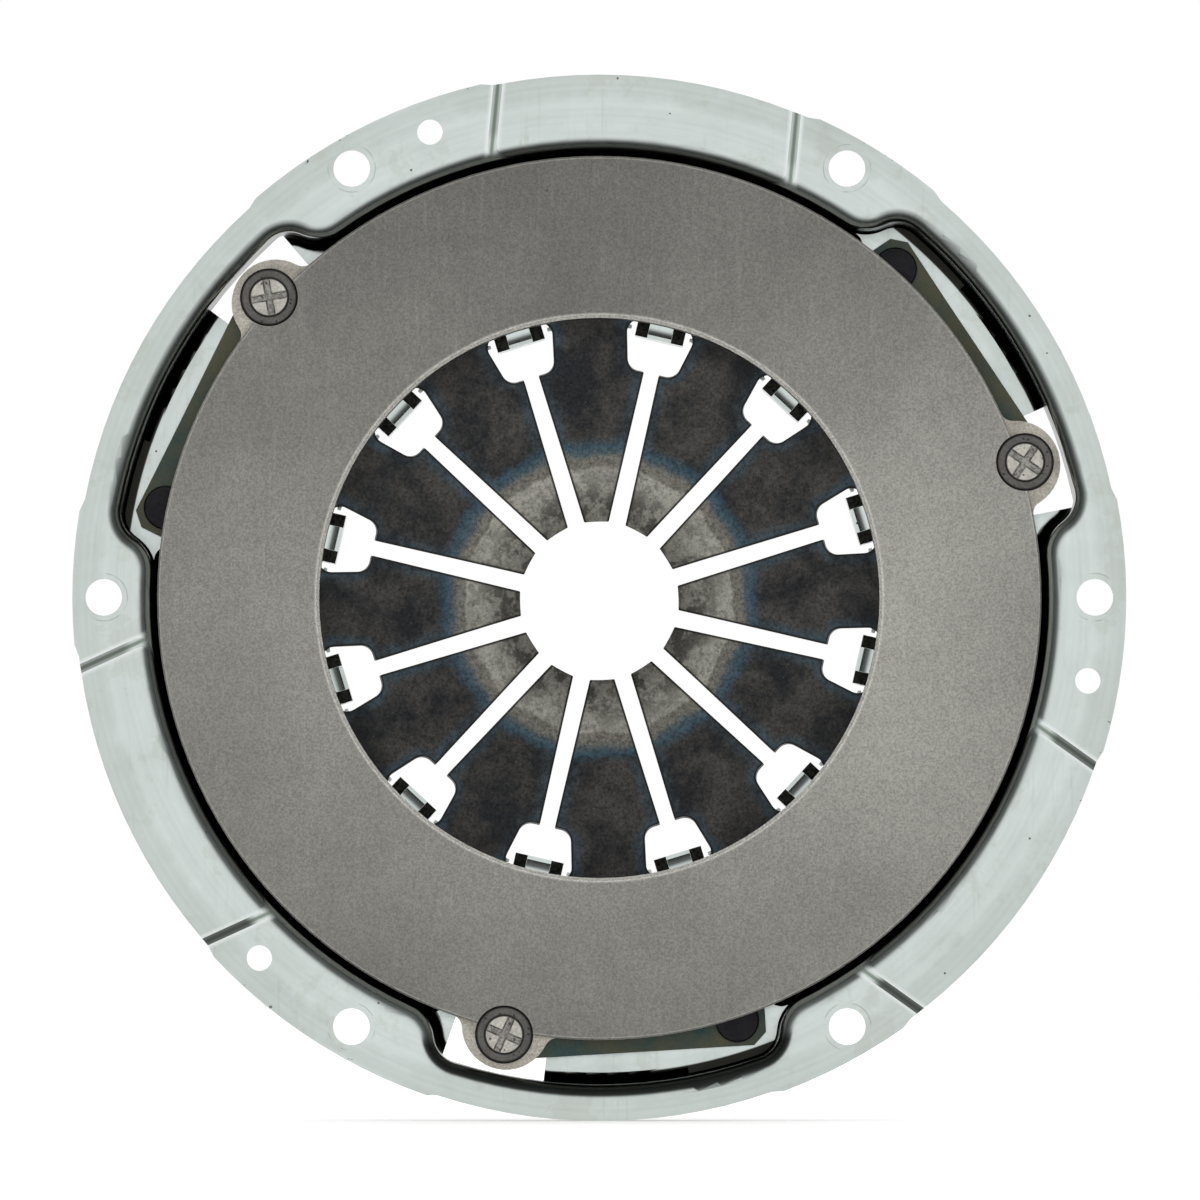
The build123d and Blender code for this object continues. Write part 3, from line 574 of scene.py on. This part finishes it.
def zinc_finish(tones):
    """Bright zinc plate over drawn steel.

    The steps in the flange carry painted highlights at their sides and a darker painted middle line, the
    drawn walls, the pockets' outer bends and their feet carry painted shade, the walls' outsides mirror less,
    and the sheared horns beside the tabs' lips are nearly black, partly as cut steel and partly as painted
    shade.
    """
    material, tree, shader = finish("Zinc plate")
    spot = use(tree, "Axis place")
    tilt = use(tree, "Tilt")
    grain = noise(tree, spot["Place"], 1.4, 4.0, 0.7)
    broken = zinc_damage(tree, spot)
    step_painted_shading, beside = painted_step_mask(tree, spot)
    horns = tab_horns(tree, spot)
    base = mix(tree, broken, zinc_plate(tree, spot, tones), tones.nick)
    # Painted light on the steps: highlights at the sides and a darker line in the middle.
    step_shading_colour = mix(tree, span(tree, beside, *STEP_SHADING_LINE), tones.step_painted_highlight, tones.step_painted_shading)
    base = mix(tree, step_painted_shading, base, step_shading_colour)
    # Painted shade on the drawn walls and on the pockets' outer bends.
    base = mix(tree, painted_wall_shade(tree, spot, tilt), base, tones.wall_shade_tone)
    # Painted shade in the pockets' feet and shelf curves, in the dark tone of cut steel.
    base = mix(tree, painted_corner_shade(tree, spot, tilt), base, tones.cut)
    # The horns' colour is dark cut steel and also painted shade.
    cut = shaded(tree, tones.cut, span(tree, grain, 0.35, 0.65, 0.5, 2.2))
    outside = product(tree, span(tree, tilt["Inwards"], -0.1, -0.7),
                      span(tree, spot["Radius"], *OUTSIDE_RADII))
    unmirrored = largest(tree, product(tree, step_painted_shading, 0.9), product(tree, outside, 0.6))
    rough = vary(tree, noise(tree, spot["Place"], 0.12, 4.0, 0.6), 0.18, 0.27)
    rough = largest(tree, rough, product(tree, broken, 0.7), product(tree, horns, 0.6))
    feed(tree, shader, Base_Color=mix(tree, horns, base, cut), Roughness=rough,
         Metallic=calc(tree, "SUBTRACT", 1.0, unmirrored))
    swell = noise(tree, spot["Place"], 0.03, 1.0, 0.4)
    bump(tree, shader, calc(tree, "MULTIPLY_ADD", grain, 0.02, swell), 0.2)
    return material


def painted_face_sheen(tree, spot):
    """Painted sheen on the ground face by its angle a: one, 0.19 cos(a + 45 deg) and 0.18 cos 2a together."""
    parts = split(tree, spot["Place"])
    across, up = (calc(tree, "DIVIDE", parts[label], spot["Radius"]) for label in ("X", "Z"))
    lean = calc(tree, "SUBTRACT", across, up)
    lobes = product(tree, calc(tree, "ADD", across, up), lean)
    return calc(tree, "MULTIPLY_ADD", lobes, 0.18, calc(tree, "MULTIPLY_ADD", lean, 0.134, 1.0))


def ground_face(tree, spot, tones):
    """Colour of the friction face: soft clouds, a painted sheen in lobes, fine scratches and painted edge
    highlights.
    """
    clouds = mask(tree, "Clouds", spot["Place"], Scale=0.022, Contrast=2.4)
    base = shaded(tree, tones.ground_iron, span(tree, clouds, 0.0, 1.0, 0.96, 1.2))
    base = shaded(tree, base, span(tree, spot["Radius"], *FACE_WIDTH, 1.06, 0.94))
    # Painted sheen: paler towards the lower right and in two lobes round the axis.
    base = shaded(tree, base, painted_face_sheen(tree, spot))
    scratches = mask(tree, "Scratches", spot["Place"], Scale=0.9, Share=0.25)
    base = mix(tree, product(tree, scratches, 0.08), base, tones.edge_highlight_and_scratch)
    # Painted highlights on the inner and outer edges of the friction face.
    edges = largest(tree, span(tree, spot["Radius"], *FACE_INNER_HIGHLIGHT),
                    span(tree, spot["Radius"], *FACE_OUTER_HIGHLIGHT, 0.0, 0.4))
    return mix(tree, edges, base, tones.edge_highlight_and_scratch)


def iron_finish(tones):
    """Cast iron: a finely ground friction face, paler machined lugs and a darker skin elsewhere."""
    material, tree, shader = finish("Iron", Metallic=0.55)
    spot = use(tree, "Axis place")
    speckle = noise(tree, spot["Place"], 2.2, 5.0, 0.8)
    mottle = mask(tree, "Clouds", spot["Place"], Scale=0.25, Contrast=3.5)
    cast = shaded(tree, tones.cast_iron, span(tree, mottle, 0.0, 1.0, 0.7, 1.1))
    lug = shaded(tree, tones.lug_iron, span(tree, mottle, 0.0, 0.7, 0.72, 1.0))
    base = mix(tree, calc(tree, "LESS_THAN", spot["Depth"], LUG_DEPTH), cast, lug)
    base = mix(tree, calc(tree, "LESS_THAN", spot["Depth"], FACE_DEPTH), base, ground_face(tree, spot, tones))
    base = shaded(tree, base, span(tree, speckle, 0.32, 0.68, 0.64, 1.36))
    specks = mask(tree, "Specks", spot["Place"], Scale=0.16, Size=0.05, Share=0.12)
    distance = turned_distance(tree, *LUG_RIVETS)
    # Painted shade in the spotface round each lug rivet.
    ring = product(tree, within(tree, distance, *SPOTFACE_RING, 0.1),
                   calc(tree, "GREATER_THAN", spot["Depth"], SPOTFACE_DEPTH))
    base = mix(tree, largest(tree, product(tree, specks, 0.5), ring), base, tones.cut)
    grained(tree, shader, base, speckle, roughness=(0.44, 0.6), relief=0.03)
    return material


def rest_place(tree):
    """A built piece's place at rest, in millimetres."""
    rest = wire(tree, "Attribute", attribute_name="rest").outputs["Vector"]
    return wire(tree, "VectorMath", {0: rest, "Scale": 1 / MM}, operation="SCALE").outputs[0]


def spring_tips(tree, place, along, grain, tones):
    """Colour of the bare tips of the fingers: grey with dark blots, and darker towards the bore."""
    blots = mask(tree, "Clouds", place, Scale=0.14, Contrast=4.5)
    spots = mask(tree, "Clouds", place, Scale=0.55, Contrast=4.0)
    blots = product(tree, span(tree, blots, 0.3, 0.75), span(tree, along, *BLOT_REACH, 0.3, 1.0))
    dark = largest(tree, blots, span(tree, spots, 0.5, 0.9, 0.0, 0.6))
    tip = shaded(tree, tones.spring_tip, calc(tree, "MULTIPLY_ADD", dark, -0.68, 1.0))
    tip = shaded(tree, tip, vary(tree, grain, 0.62, 1.35))
    return shaded(tree, tip, span(tree, along, *TIP_REACH, 0.6, 0.98))


def spring_finish(tones):
    """Heat-treated spring steel: dark mottled skin, bare tips, blued band beside them, blued edges, painted
    shadow.
    """
    material, tree, shader = finish("Spring steel", Metallic=0.8)
    place = rest_place(tree)
    edge = wire(tree, "Attribute", attribute_name="edge").outputs["Fac"]
    along = wire(tree, "Attribute", attribute_name="finger").outputs["Fac"]
    grain = noise(tree, place, 1.3, 5.0, 0.8)
    clouds = mask(tree, "Clouds", place, Scale=0.09, Contrast=5.0)
    wobble = product(tree, calc(tree, "SUBTRACT", noise(tree, place, 0.25, 3.0), 0.5), 3.0)
    reach = calc(tree, "ADD", along, wobble)

    base = mix(tree, clouds, tones.spring, tones.spring_brown)
    base = shaded(tree, base, vary(tree, grain, 0.35, 1.7))
    # Painted shadow on the skin towards the pressure plate's inner edge.
    base = shaded(tree, base, span(tree, along, *PAINTED_SHADOW_REACH, 1.0, 0.72))
    blued = product(tree, span(tree, reach, *BLUE_REACH), vary(tree, grain, 0.5, 1.0))
    sides = product(tree, span(tree, calc(tree, "ADD", edge, wobble), *BLUE_EDGE),
                    span(tree, clouds, 0.0, 1.0, 0.1, 0.5))
    blue = mix(tree, span(tree, reach, *BLUE_FADE, 0.0, 0.4), tones.spring_blue, tones.spring_grey)
    base = mix(tree, largest(tree, blued, sides), base, shaded(tree, blue, vary(tree, grain, 0.6, 1.45)))
    grey = shaded(tree, tones.spring_grey, vary(tree, grain, 0.4, 1.7))
    base = mix(tree, span(tree, reach, *GREY_REACH), base, grey)
    base = mix(tree, span(tree, reach, *BARE_REACH), base, spring_tips(tree, place, along, grain, tones))

    dust = mask(tree, "Specks", place, Scale=0.9, Size=0.16, Share=0.12)
    base = mix(tree, product(tree, dust, 0.35), base, tones.spring_grey)
    specks = mask(tree, "Specks", place, Scale=0.5, Size=0.16, Share=0.2)
    border = span(tree, edge, *BORDER_WIDTH, 0.0, 0.9)
    base = mix(tree, largest(tree, product(tree, specks, 0.5), border), base, tones.cut)
    grained(tree, shader, base, grain, roughness=(0.36, 0.5), relief=0.03)
    return material


def strap_finish(tones):
    """Blued spring strip: dark green-grey with olive bands and a fine rolled grain."""
    material, tree, shader = finish("Strap steel", Metallic=0.85)
    place = rest_place(tree)
    bands = mask(tree, "Clouds", place, Scale=0.045, Contrast=6.0)
    base = mix(tree, product(tree, bands, 0.85), tones.strap, tones.strap_olive)
    fine = noise(tree, place, 1.3, 4.0, 0.7)
    base = shaded(tree, base, vary(tree, fine, 0.82, 1.12))
    grained(tree, shader, base, fine, roughness=(0.32, 0.42), relief=0.01)
    return material


def cross_distance(tree, lug, cross):
    """How far a point is from the nearer centre line of a lug rivet's pressed cross, in millimetres."""
    offset = turned_offset(tree, *LUG_RIVETS)
    turned = wire(tree, "VectorRotate", {"Vector": offset, "Angle": math.radians(lug - cross)},
                  rotation_type="Z_AXIS").outputs[0]
    sides = split(tree, turned)
    return calc(tree, "MINIMUM", *(calc(tree, "ABSOLUTE", sides[label]) for label in ("X", "Y")))


def lug_rivet_finish(tones, number, lug, cross):
    """Lug rivets: a grey ring head with small pits, and a polished disc with a pressed cross.

    Shade is painted round the head's rim, in the groove round the disc and along the cross's edges. Only the
    head has a disc. The tail behind is all like the ring.
    """
    material, tree, shader = finish(f"Lug rivet {number}", Metallic=0.75)
    spot = use(tree, "Axis place")
    head = calc(tree, "LESS_THAN", spot["Depth"], RIVET_HEAD_DEPTH)
    distance = turned_distance(tree, *LUG_RIVETS)
    beside = cross_distance(tree, lug, cross)
    clouds = mask(tree, "Clouds", spot["Place"], Scale=0.2, Contrast=2.6)
    speckle = noise(tree, spot["Place"], 1.6, 3.0, 0.7)
    ring = shaded(tree, tones.rivet_ring, span(tree, clouds, 0.0, 1.0, 0.75, 1.15))
    petals = shaded(tree, tones.rivet_disc, span(tree, clouds, 0.0, 1.0, 0.8, 1.05))
    arms = product(tree, span(tree, beside, CROSS_HALF_WIDTH + 0.05, CROSS_HALF_WIDTH - 0.05),
                   span(tree, speckle, 0.4, 0.6, 0.75, 0.45))
    disc = mix(tree, arms, petals, tones.rivet_ring)
    base = mix(tree, product(tree, head, calc(tree, "LESS_THAN", distance, RIVET_DISC)), ring, disc)
    # Painted shade round the head's rim, in the groove round the disc and along the sides of the cross's
    # arms.
    painted_rivet_shade = largest(tree, span(tree, distance, *RIVET_RIM), within(tree, distance, *RIVET_GROOVE, 0.15))
    uneven = span(tree, noise(tree, spot["Place"], 0.5, 2.0), 0.4, 0.6, 0.55, 1.0)
    sides = product(tree, within(tree, beside, *CROSS_SIDES, 0.1), span(tree, distance, *CROSS_ENDS), uneven)
    pits = mask(tree, "Specks", spot["Place"], Scale=0.9, Size=0.3, Share=0.2)
    pits_and_painted_shade = largest(tree, product(tree, pits, 0.8), product(tree, largest(tree, painted_rivet_shade, sides), head))
    base = mix(tree, product(tree, pits_and_painted_shade, 0.9), base, tones.cut)
    base = shaded(tree, base, span(tree, speckle, 0.35, 0.65, 0.85, 1.15))
    fine = noise(tree, spot["Place"], 2.5, 3.0, 0.6)
    grained(tree, shader, base, fine, roughness=(0.34, 0.46), relief=0.02)
    return material


def cover_rivet_finish(tones):
    """Blackened cover rivets, slightly worn."""
    material, tree, shader = finish("Black rivet", Metallic=0.6)
    spot = use(tree, "Axis place")
    clouds = mask(tree, "Clouds", spot["Place"], Scale=0.25, Contrast=2.5)
    base = shaded(tree, tones.rivet_black, span(tree, clouds, 0.0, 1.0, 0.7, 1.3))
    fine = noise(tree, spot["Place"], 1.8, 4.0, 0.6)
    grained(tree, shader, base, fine, roughness=(0.45, 0.6), relief=0.02)
    return material


def wire_finish(tones):
    """Plain drawn wire with a little oil darkening."""
    material, tree, shader = finish("Wire", Metallic=0.9, Roughness=0.35)
    spot = use(tree, "Axis place")
    clouds = mask(tree, "Clouds", spot["Place"], Scale=0.1, Contrast=3.0)
    feed(tree, shader, Base_Color=shaded(tree, tones.wire, span(tree, clouds, 0.0, 1.0, 0.5, 1.0)))
    return material


# Objects and shapes

SLOT_NECK = 2 * MM  # length of the parallel stretch of a slot beside its eye
ROW_LAG = 4 * MM  # how far inside an eye's start the middle of its first row lies
ROW_LEAD = (1.5 * MM, 6 * MM)  # and how far outside its end, where it is widest and where it closes


def add_object(name, data):
    """A new object in the scene."""
    thing = bpy.data.objects.new(name, data)
    bpy.context.scene.collection.objects.link(thing)
    return thing


def new_piece(name, points, faces, material, slot, **measures):
    """A smooth mesh object, which keeps its points' places at rest and other measures. Its slot is not used.
    """
    mesh = bpy.data.meshes.new(name)
    mesh.from_pydata(points.tolist(), [], faces.tolist())
    mesh.polygons.foreach_set("use_smooth", np.ones(len(mesh.polygons), bool))
    mesh.materials.append(material)
    rest = mesh.attributes.new("rest", "FLOAT_VECTOR", "POINT")
    rest.data.foreach_set("vector", points.ravel())
    for label, values in measures.items():
        mesh.attributes.new(label, "FLOAT", "POINT").data.foreach_set("value", values)
    mesh.update()
    piece = add_object(name, mesh)
    return piece


def grid_faces(index):
    """The four-cornered faces of grids of points, from the points' numbers laid out in rows and columns."""
    corners = (index[..., :-1, :-1], index[..., :-1, 1:], index[..., 1:, 1:], index[..., 1:, :-1])
    return np.stack(corners, axis=-1).reshape(-1, 4)


def thicken(piece, thickness, edge):
    """Gives a sheet its thickness, half to each side, and rounds its cut edges."""
    wall = piece.modifiers.new("Thickness", "SOLIDIFY")
    wall.thickness = thickness
    wall.offset = 0
    rounding = piece.modifiers.new("Edges", "BEVEL")
    rounding.width = edge
    rounding.segments = 2
    rounding.limit_method = "ANGLE"
    rounding.angle_limit = math.radians(50)
    rounding.harden_normals = True


def arc(centre, radius, start, end, count):
    """Points on an arc between two angles in radians."""
    turn = np.linspace(start, end, count)
    return np.stack((centre[0] + radius * np.cos(turn), centre[1] + radius * np.sin(turn)), axis=1)


def run(start, end, count):
    """Evenly spaced points on a straight run, without the last."""
    step = np.linspace(0, 1, count, endpoint=False)[:, None]
    return np.array(start) + step * (np.array(end) - np.array(start))


def slot_edge(sizes):
    """One side of a slot and its eye, from the tip to the rim, as distance along the slot and half width.

    It runs straight down the slot, turns out along the eye's inner end, round a corner, along the eye's
    slanted side, round its outer corner and back in to the slot's centre line, which it follows to the rim.
    The slot's last stretch is parallel, with closer points.
    """
    inner = np.array((sizes.eye_inner, sizes.eye_inner_width / 2))
    outer = np.array((sizes.eye_outer, sizes.eye_outer_width / 2))
    slant = (outer - inner) / np.linalg.norm(outer - inner)
    lean = math.atan2(slant[1], slant[0])
    reach_in = sizes.eye_corner * math.tan((math.pi / 2 - lean) / 2)
    reach_out = sizes.eye_corner * math.tan((math.pi / 2 + lean) / 2)
    centre_in = (inner[0] + sizes.eye_corner, inner[1] - reach_in)
    centre_out = (outer[0] - sizes.eye_corner, outer[1] - reach_out)
    tip = (sizes.tip_radius, sizes.slot_tip / 2)
    neck = (sizes.eye_inner - SLOT_NECK, sizes.slot_root / 2)
    root = (sizes.eye_inner, sizes.slot_root / 2)
    return np.concatenate((
        run(tip, neck, 40),
        run(neck, root, 3),
        run(root, (sizes.eye_inner, centre_in[1]), 4),
        arc(centre_in, sizes.eye_corner, math.pi, math.pi / 2 + lean, 9)[:-1],
        run(inner + slant * reach_in, outer - slant * reach_out, 8),
        arc(centre_out, sizes.eye_corner, math.pi / 2 + lean, 0, 9)[:-1],
        run((sizes.eye_outer, centre_out[1]), (sizes.eye_outer, 0), 8),
        run((sizes.eye_outer, 0), (sizes.rim_radius, 0), 16),
        np.array([[sizes.rim_radius, 0.0]]),
    ))


def spring_depth(sizes, radius):
    """Middle of the spring's thickness: a straight cone, with the tips curling back on an arc inside it."""
    cone = math.atan(sizes.slope)
    start_depth = sizes.pivot_depth + (sizes.pivot_radius - sizes.curl_start) * sizes.slope
    centre_radius = sizes.curl_start + sizes.curl_radius * math.sin(cone)
    centre_depth = start_depth + sizes.curl_radius * math.cos(cone)
    straight = sizes.pivot_depth + (sizes.pivot_radius - radius) * sizes.slope
    curled = centre_depth - np.sqrt(np.maximum(sizes.curl_radius**2 - (centre_radius - radius) ** 2, 0))
    return np.where(radius < sizes.curl_start, curled, straight)


def spring_sheet(sizes, columns=15):
    """The spring's middle surface, finger by finger, with each point's distances that the finish follows.

    Each row runs across one finger from slot to slot. Along it the angle changes evenly, and the radius
    changes with the square of the way from the middle, from the row's radius in the middle to that of its
    ends. Beside an eye the middle lags behind the ends at first and then runs ahead of them, so that no two
    rows cross. The distances, in millimetres, are those in from the nearer cut edge and from the axis along
    the finger.
    """
    edge = slot_edge(sizes)
    half_pitch = math.pi / sizes.fingers
    end_radius = np.hypot(edge[:, 0], edge[:, 1])
    end_angle = half_pitch - np.arctan2(edge[:, 1], edge[:, 0])
    along = np.concatenate(([0], np.cumsum(np.linalg.norm(np.diff(edge, axis=0), axis=1))))
    opens = np.argmax(edge[:, 0] >= sizes.eye_inner)
    widest = np.argmax(edge[:, 1])
    closes = np.argmin(edge[:, 1])
    middles = (sizes.tip_radius, sizes.eye_inner - ROW_LAG, *(sizes.eye_outer + lead for lead in ROW_LEAD),
               sizes.rim_radius)
    middle_radius = np.interp(along, along[[0, opens, widest, closes, -1]], middles)
    across = np.linspace(-1, 1, columns)
    radius = middle_radius[:, None] + (end_radius - middle_radius)[:, None] * across**2
    angle = end_angle[:, None] * across
    past_eye = np.where(edge[:, 1] > 0, 0.0, edge[:, 0] - sizes.eye_outer)
    edge_distance = past_eye[:, None] + (end_angle * end_radius)[:, None] * (1 - np.abs(across))
    finger_angles = math.radians(sizes.first_slot) + half_pitch * (2 * np.arange(sizes.fingers) + 1)
    turn = finger_angles[:, None, None] + angle
    depth = np.broadcast_to(spring_depth(sizes, radius), turn.shape)
    points = np.stack((radius * np.cos(turn), depth, radius * np.sin(turn)), axis=-1).reshape(-1, 3)
    index = np.arange(turn.size).reshape(turn.shape)
    joined = edge[:, 1] == 0
    index[:, joined, -1] = np.roll(index[:, joined, 0], -1, axis=0)
    used, faces = np.unique(grid_faces(index), return_inverse=True)
    finger_reach = radius * np.cos(angle)
    measures = [np.broadcast_to(values / MM, turn.shape).ravel()[used]
                for values in (edge_distance, finger_reach)]
    return points[used], faces.reshape(-1, 4), *measures


def leaf_sheet(sizes, lug, front, lift):
    """A leaf's middle surface: flat at each rivet, and following a smooth S between them.

    Its outline is a strip with cut corners. The rise along the S is 3t^2 - 2t^3 of the way from flat to flat.
    """
    turn = math.radians(lug)
    start = sizes.lug_rivet_radius * np.array((math.cos(turn), math.sin(turn)))
    turn += math.radians(sizes.cover_rivet_angle)
    end = sizes.cover_rivet_radius * np.array((math.cos(turn), math.sin(turn)))
    reach = np.linalg.norm(end - start)
    ahead = (end - start) / reach
    aside = np.array((-ahead[1], ahead[0]))
    cut = sizes.chamfer
    stops = (-sizes.end, cut - sizes.end, sizes.flat, reach - sizes.flat, reach + sizes.end - cut)
    last = reach + sizes.end
    steps = zip(stops, (*stops[1:], last), (3, 5, 32, 5, 3))
    along = np.append(np.concatenate([np.linspace(*step, endpoint=False) for step in steps]), last)
    inset = np.maximum(0, cut - np.minimum(along + sizes.end, reach + sizes.end - along))
    half = sizes.width / 2 - inset
    way = np.clip((along - sizes.flat) / (reach - 2 * sizes.flat), 0, 1)
    rise = way**2 * (3 - 2 * way)
    across = np.linspace(-1, 1, 7)
    flat = start + along[:, None, None] * ahead + (half[:, None] * across)[:, :, None] * aside
    depth = np.broadcast_to((front + rise * lift)[:, None], flat.shape[:2])
    points = np.stack((flat[..., 0], depth, flat[..., 1]), axis=-1).reshape(-1, 3)
    index = np.arange(len(points)).reshape(len(along), len(across))
    return points, grid_faces(index), np.repeat(1 - rise, len(across))


# Operators


class ClutchGroups(bpy.types.Operator):
    """Makes the shader effects that the finishes share"""

    bl_idname = "clutch.groups"
    bl_label = "Shared effects"

    def execute(self, context):
        make_axis_place()
        make_turn_place()
        make_tilt()
        make_clouds()
        make_specks()
        make_scratches()
        return {"FINISHED"}


class ClutchCover(bpy.types.Operator):
    """Finishes the cover, its rivets and the fulcrum rings"""

    bl_idname = "clutch.cover"
    bl_label = "Cover"

    def execute(self, context):
        tones = context.scene.clutch_finishes
        put_on(zinc_finish(tones), "cover")
        put_on(cover_rivet_finish(tones), *(f"cover_rivet_{i}" for i in range(1, len(LUG_ANGLES) + 1)))
        put_on(wire_finish(tones), "pivot_ring_front", "pivot_ring_back")
        return {"FINISHED"}


class ClutchPlate(bpy.types.Operator):
    """Finishes the pressure plate and the rivets in its lugs"""

    bl_idname = "clutch.plate"
    bl_label = "Pressure plate"

    def execute(self, context):
        tones = context.scene.clutch_finishes
        put_on(iron_finish(tones), "pressure_plate")
        for i, (lug, cross) in enumerate(zip(LUG_ANGLES, CROSS_ANGLES), 1):
            put_on(lug_rivet_finish(tones, i, lug, cross), f"lug_rivet_{i}")
        return {"FINISHED"}


class ClutchBuildSpring(bpy.types.Operator):
    """Builds the diaphragm spring in place of the model's own"""

    bl_idname = "clutch.spring"
    bl_label = "Diaphragm spring"

    def execute(self, context):
        sizes = context.scene.clutch_spring
        points, faces, edge, finger = spring_sheet(sizes)
        material = spring_finish(context.scene.clutch_finishes)
        spring = new_piece("spring", points, faces, material, "spring", edge=edge, finger=finger)
        thicken(spring, sizes.thickness, sizes.edge)
        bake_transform(spring)
        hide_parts("diaphragm_spring")
        return {"FINISHED"}


class ClutchBuildStraps(bpy.types.Operator):
    """Builds the three packs of strap leaves in place of the model's own"""

    bl_idname = "clutch.straps"
    bl_label = "Drive straps"

    def execute(self, context):
        sizes = context.scene.clutch_straps
        material = strap_finish(context.scene.clutch_finishes)
        for i, lug in enumerate(LUG_ANGLES, 1):
            for j in range(1, LEAVES + 1):
                node = f"strap_{i}_leaf_{j}"
                low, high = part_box(node)
                front = low.y + sizes.thickness / 2
                lift = high.y - low.y - sizes.thickness
                points, faces, follow = leaf_sheet(sizes, lug, front, lift)
                leaf = new_piece(f"leaf_{i}_{j}", points, faces, material, "strap")
                thicken(leaf, sizes.thickness, sizes.edge)
                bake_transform(leaf)
                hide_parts(node)
        return {"FINISHED"}


class ClutchSetStage(bpy.types.Operator):
    """Sets up the floor, the light and the camera"""

    bl_idname = "clutch.stage"
    bl_label = "Stage"

    def execute(self, context):
        stage = context.scene.clutch_stage
        context.scene.view_settings.view_transform = "Standard"
        self.make_world(context.scene)
        self.make_floor(stage)
        self.make_lamps(stage)
        self.make_camera(context.scene, stage)
        return {"FINISHED"}

    def make_world(self, scene):
        """White where it is seen, plain for light, and in mirrors white before and behind and dark beside."""
        scene.world = bpy.data.worlds.new("Studio")
        scene.world.use_nodes = True
        tree = scene.world.node_tree
        shader = tree.nodes["Background"]
        path = wire(tree, "LightPath").outputs
        seen = largest(tree, path["Is Camera Ray"], path["Is Transmission Ray"])
        way = split(tree, wire(tree, "TexCoord").outputs["Generated"])
        ahead = calc(tree, "ABSOLUTE", way["Y"])
        panel = span(tree, calc(tree, "MULTIPLY_ADD", way["Z"], -0.15, ahead), *MIRRORED_PANEL)
        mirrored = calc(tree, "ADD", panel, span(tree, ahead, *MIRRORED_SIDES))
        light = mix(tree, path["Is Glossy Ray"], AMBIENT, mirrored)
        feed(tree, shader, Color=mix(tree, seen, light, (1.0, 1.0, 1.0)))

    def make_floor(self, stage):
        """A pale floor that shows plain white with the object's shadow on it."""
        size = 6.0
        corners = [(x * size, y * size, cad_low.z) for x, y in ((-1, -1), (1, -1), (1, 1), (-1, 1))]
        mesh = bpy.data.meshes.new("floor")
        mesh.from_pydata(corners, [], [(0, 1, 2, 3)])
        material, tree, shader = finish(
            "Floor", Roughness=0.9, Base_Color=(*stage.floor, 1), Emission_Color=(1, 1, 1, 1))
        path = wire(tree, "LightPath").outputs
        feed(tree, shader, Emission_Strength=product(tree, path["Is Camera Ray"], 0.35))
        mesh.materials.append(material)
        floor = add_object("floor", mesh)
        floor.visible_glossy = False

    def make_lamps(self, stage):
        """Large soft lamps in front, above and behind, all aimed at the object."""
        for name, place, size, share in LAMPS:
            lamp = bpy.data.lights.new(name, "AREA")
            lamp.size = size
            lamp.energy = stage.lamp * share * math.pi * size**2
            light = add_object(name, lamp)
            light.location = place
            light.rotation_euler = (-light.location).to_track_quat("-Z", "Y").to_euler()
            light.visible_camera = False
            light.visible_glossy = False

    def make_camera(self, scene, stage):
        """A long lens straight in front, a little below the axis."""
        sight = bpy.data.cameras.new("camera")
        sight.lens = sight.sensor_width * stage.distance / stage.view_width
        sight.clip_end = 100
        camera = add_object("camera", sight)
        tilt = math.radians(stage.elevation)
        camera.location = (stage.aim_right, -stage.distance * math.cos(tilt),
                           stage.aim_up + stage.distance * math.sin(tilt))
        camera.rotation_euler = (math.pi / 2 - tilt, 0, 0)
        scene.camera = camera


class ClutchPanel(bpy.types.Panel):
    """Lists what can be built"""

    bl_idname = "VIEW3D_PT_clutch"
    bl_label = "Clutch pressure plate"
    bl_space_type = "VIEW_3D"
    bl_region_type = "UI"
    bl_category = "Clutch"

    def draw(self, context):
        for step in STEPS:
            self.layout.operator(step.bl_idname)


SETTINGS = {
    "clutch_finishes": ClutchFinishes,
    "clutch_spring": ClutchSpring,
    "clutch_straps": ClutchStraps,
    "clutch_stage": ClutchStage,
}
STEPS = (ClutchGroups, ClutchSetStage, ClutchCover, ClutchPlate, ClutchBuildSpring, ClutchBuildStraps)


def register():
    for kind in (*SETTINGS.values(), *STEPS, ClutchPanel):
        bpy.utils.register_class(kind)
    for name, kind in SETTINGS.items():
        setattr(bpy.types.Scene, name, bpy.props.PointerProperty(type=kind))


def unregister():
    for name in SETTINGS:
        delattr(bpy.types.Scene, name)
    for kind in (ClutchPanel, *reversed(STEPS), *reversed(SETTINGS.values())):
        bpy.utils.unregister_class(kind)


def main():
    register()
    for step in STEPS:
        group, name = step.bl_idname.split(".")
        getattr(getattr(bpy.ops, group), name)()


if __name__ == "__main__":
    main()
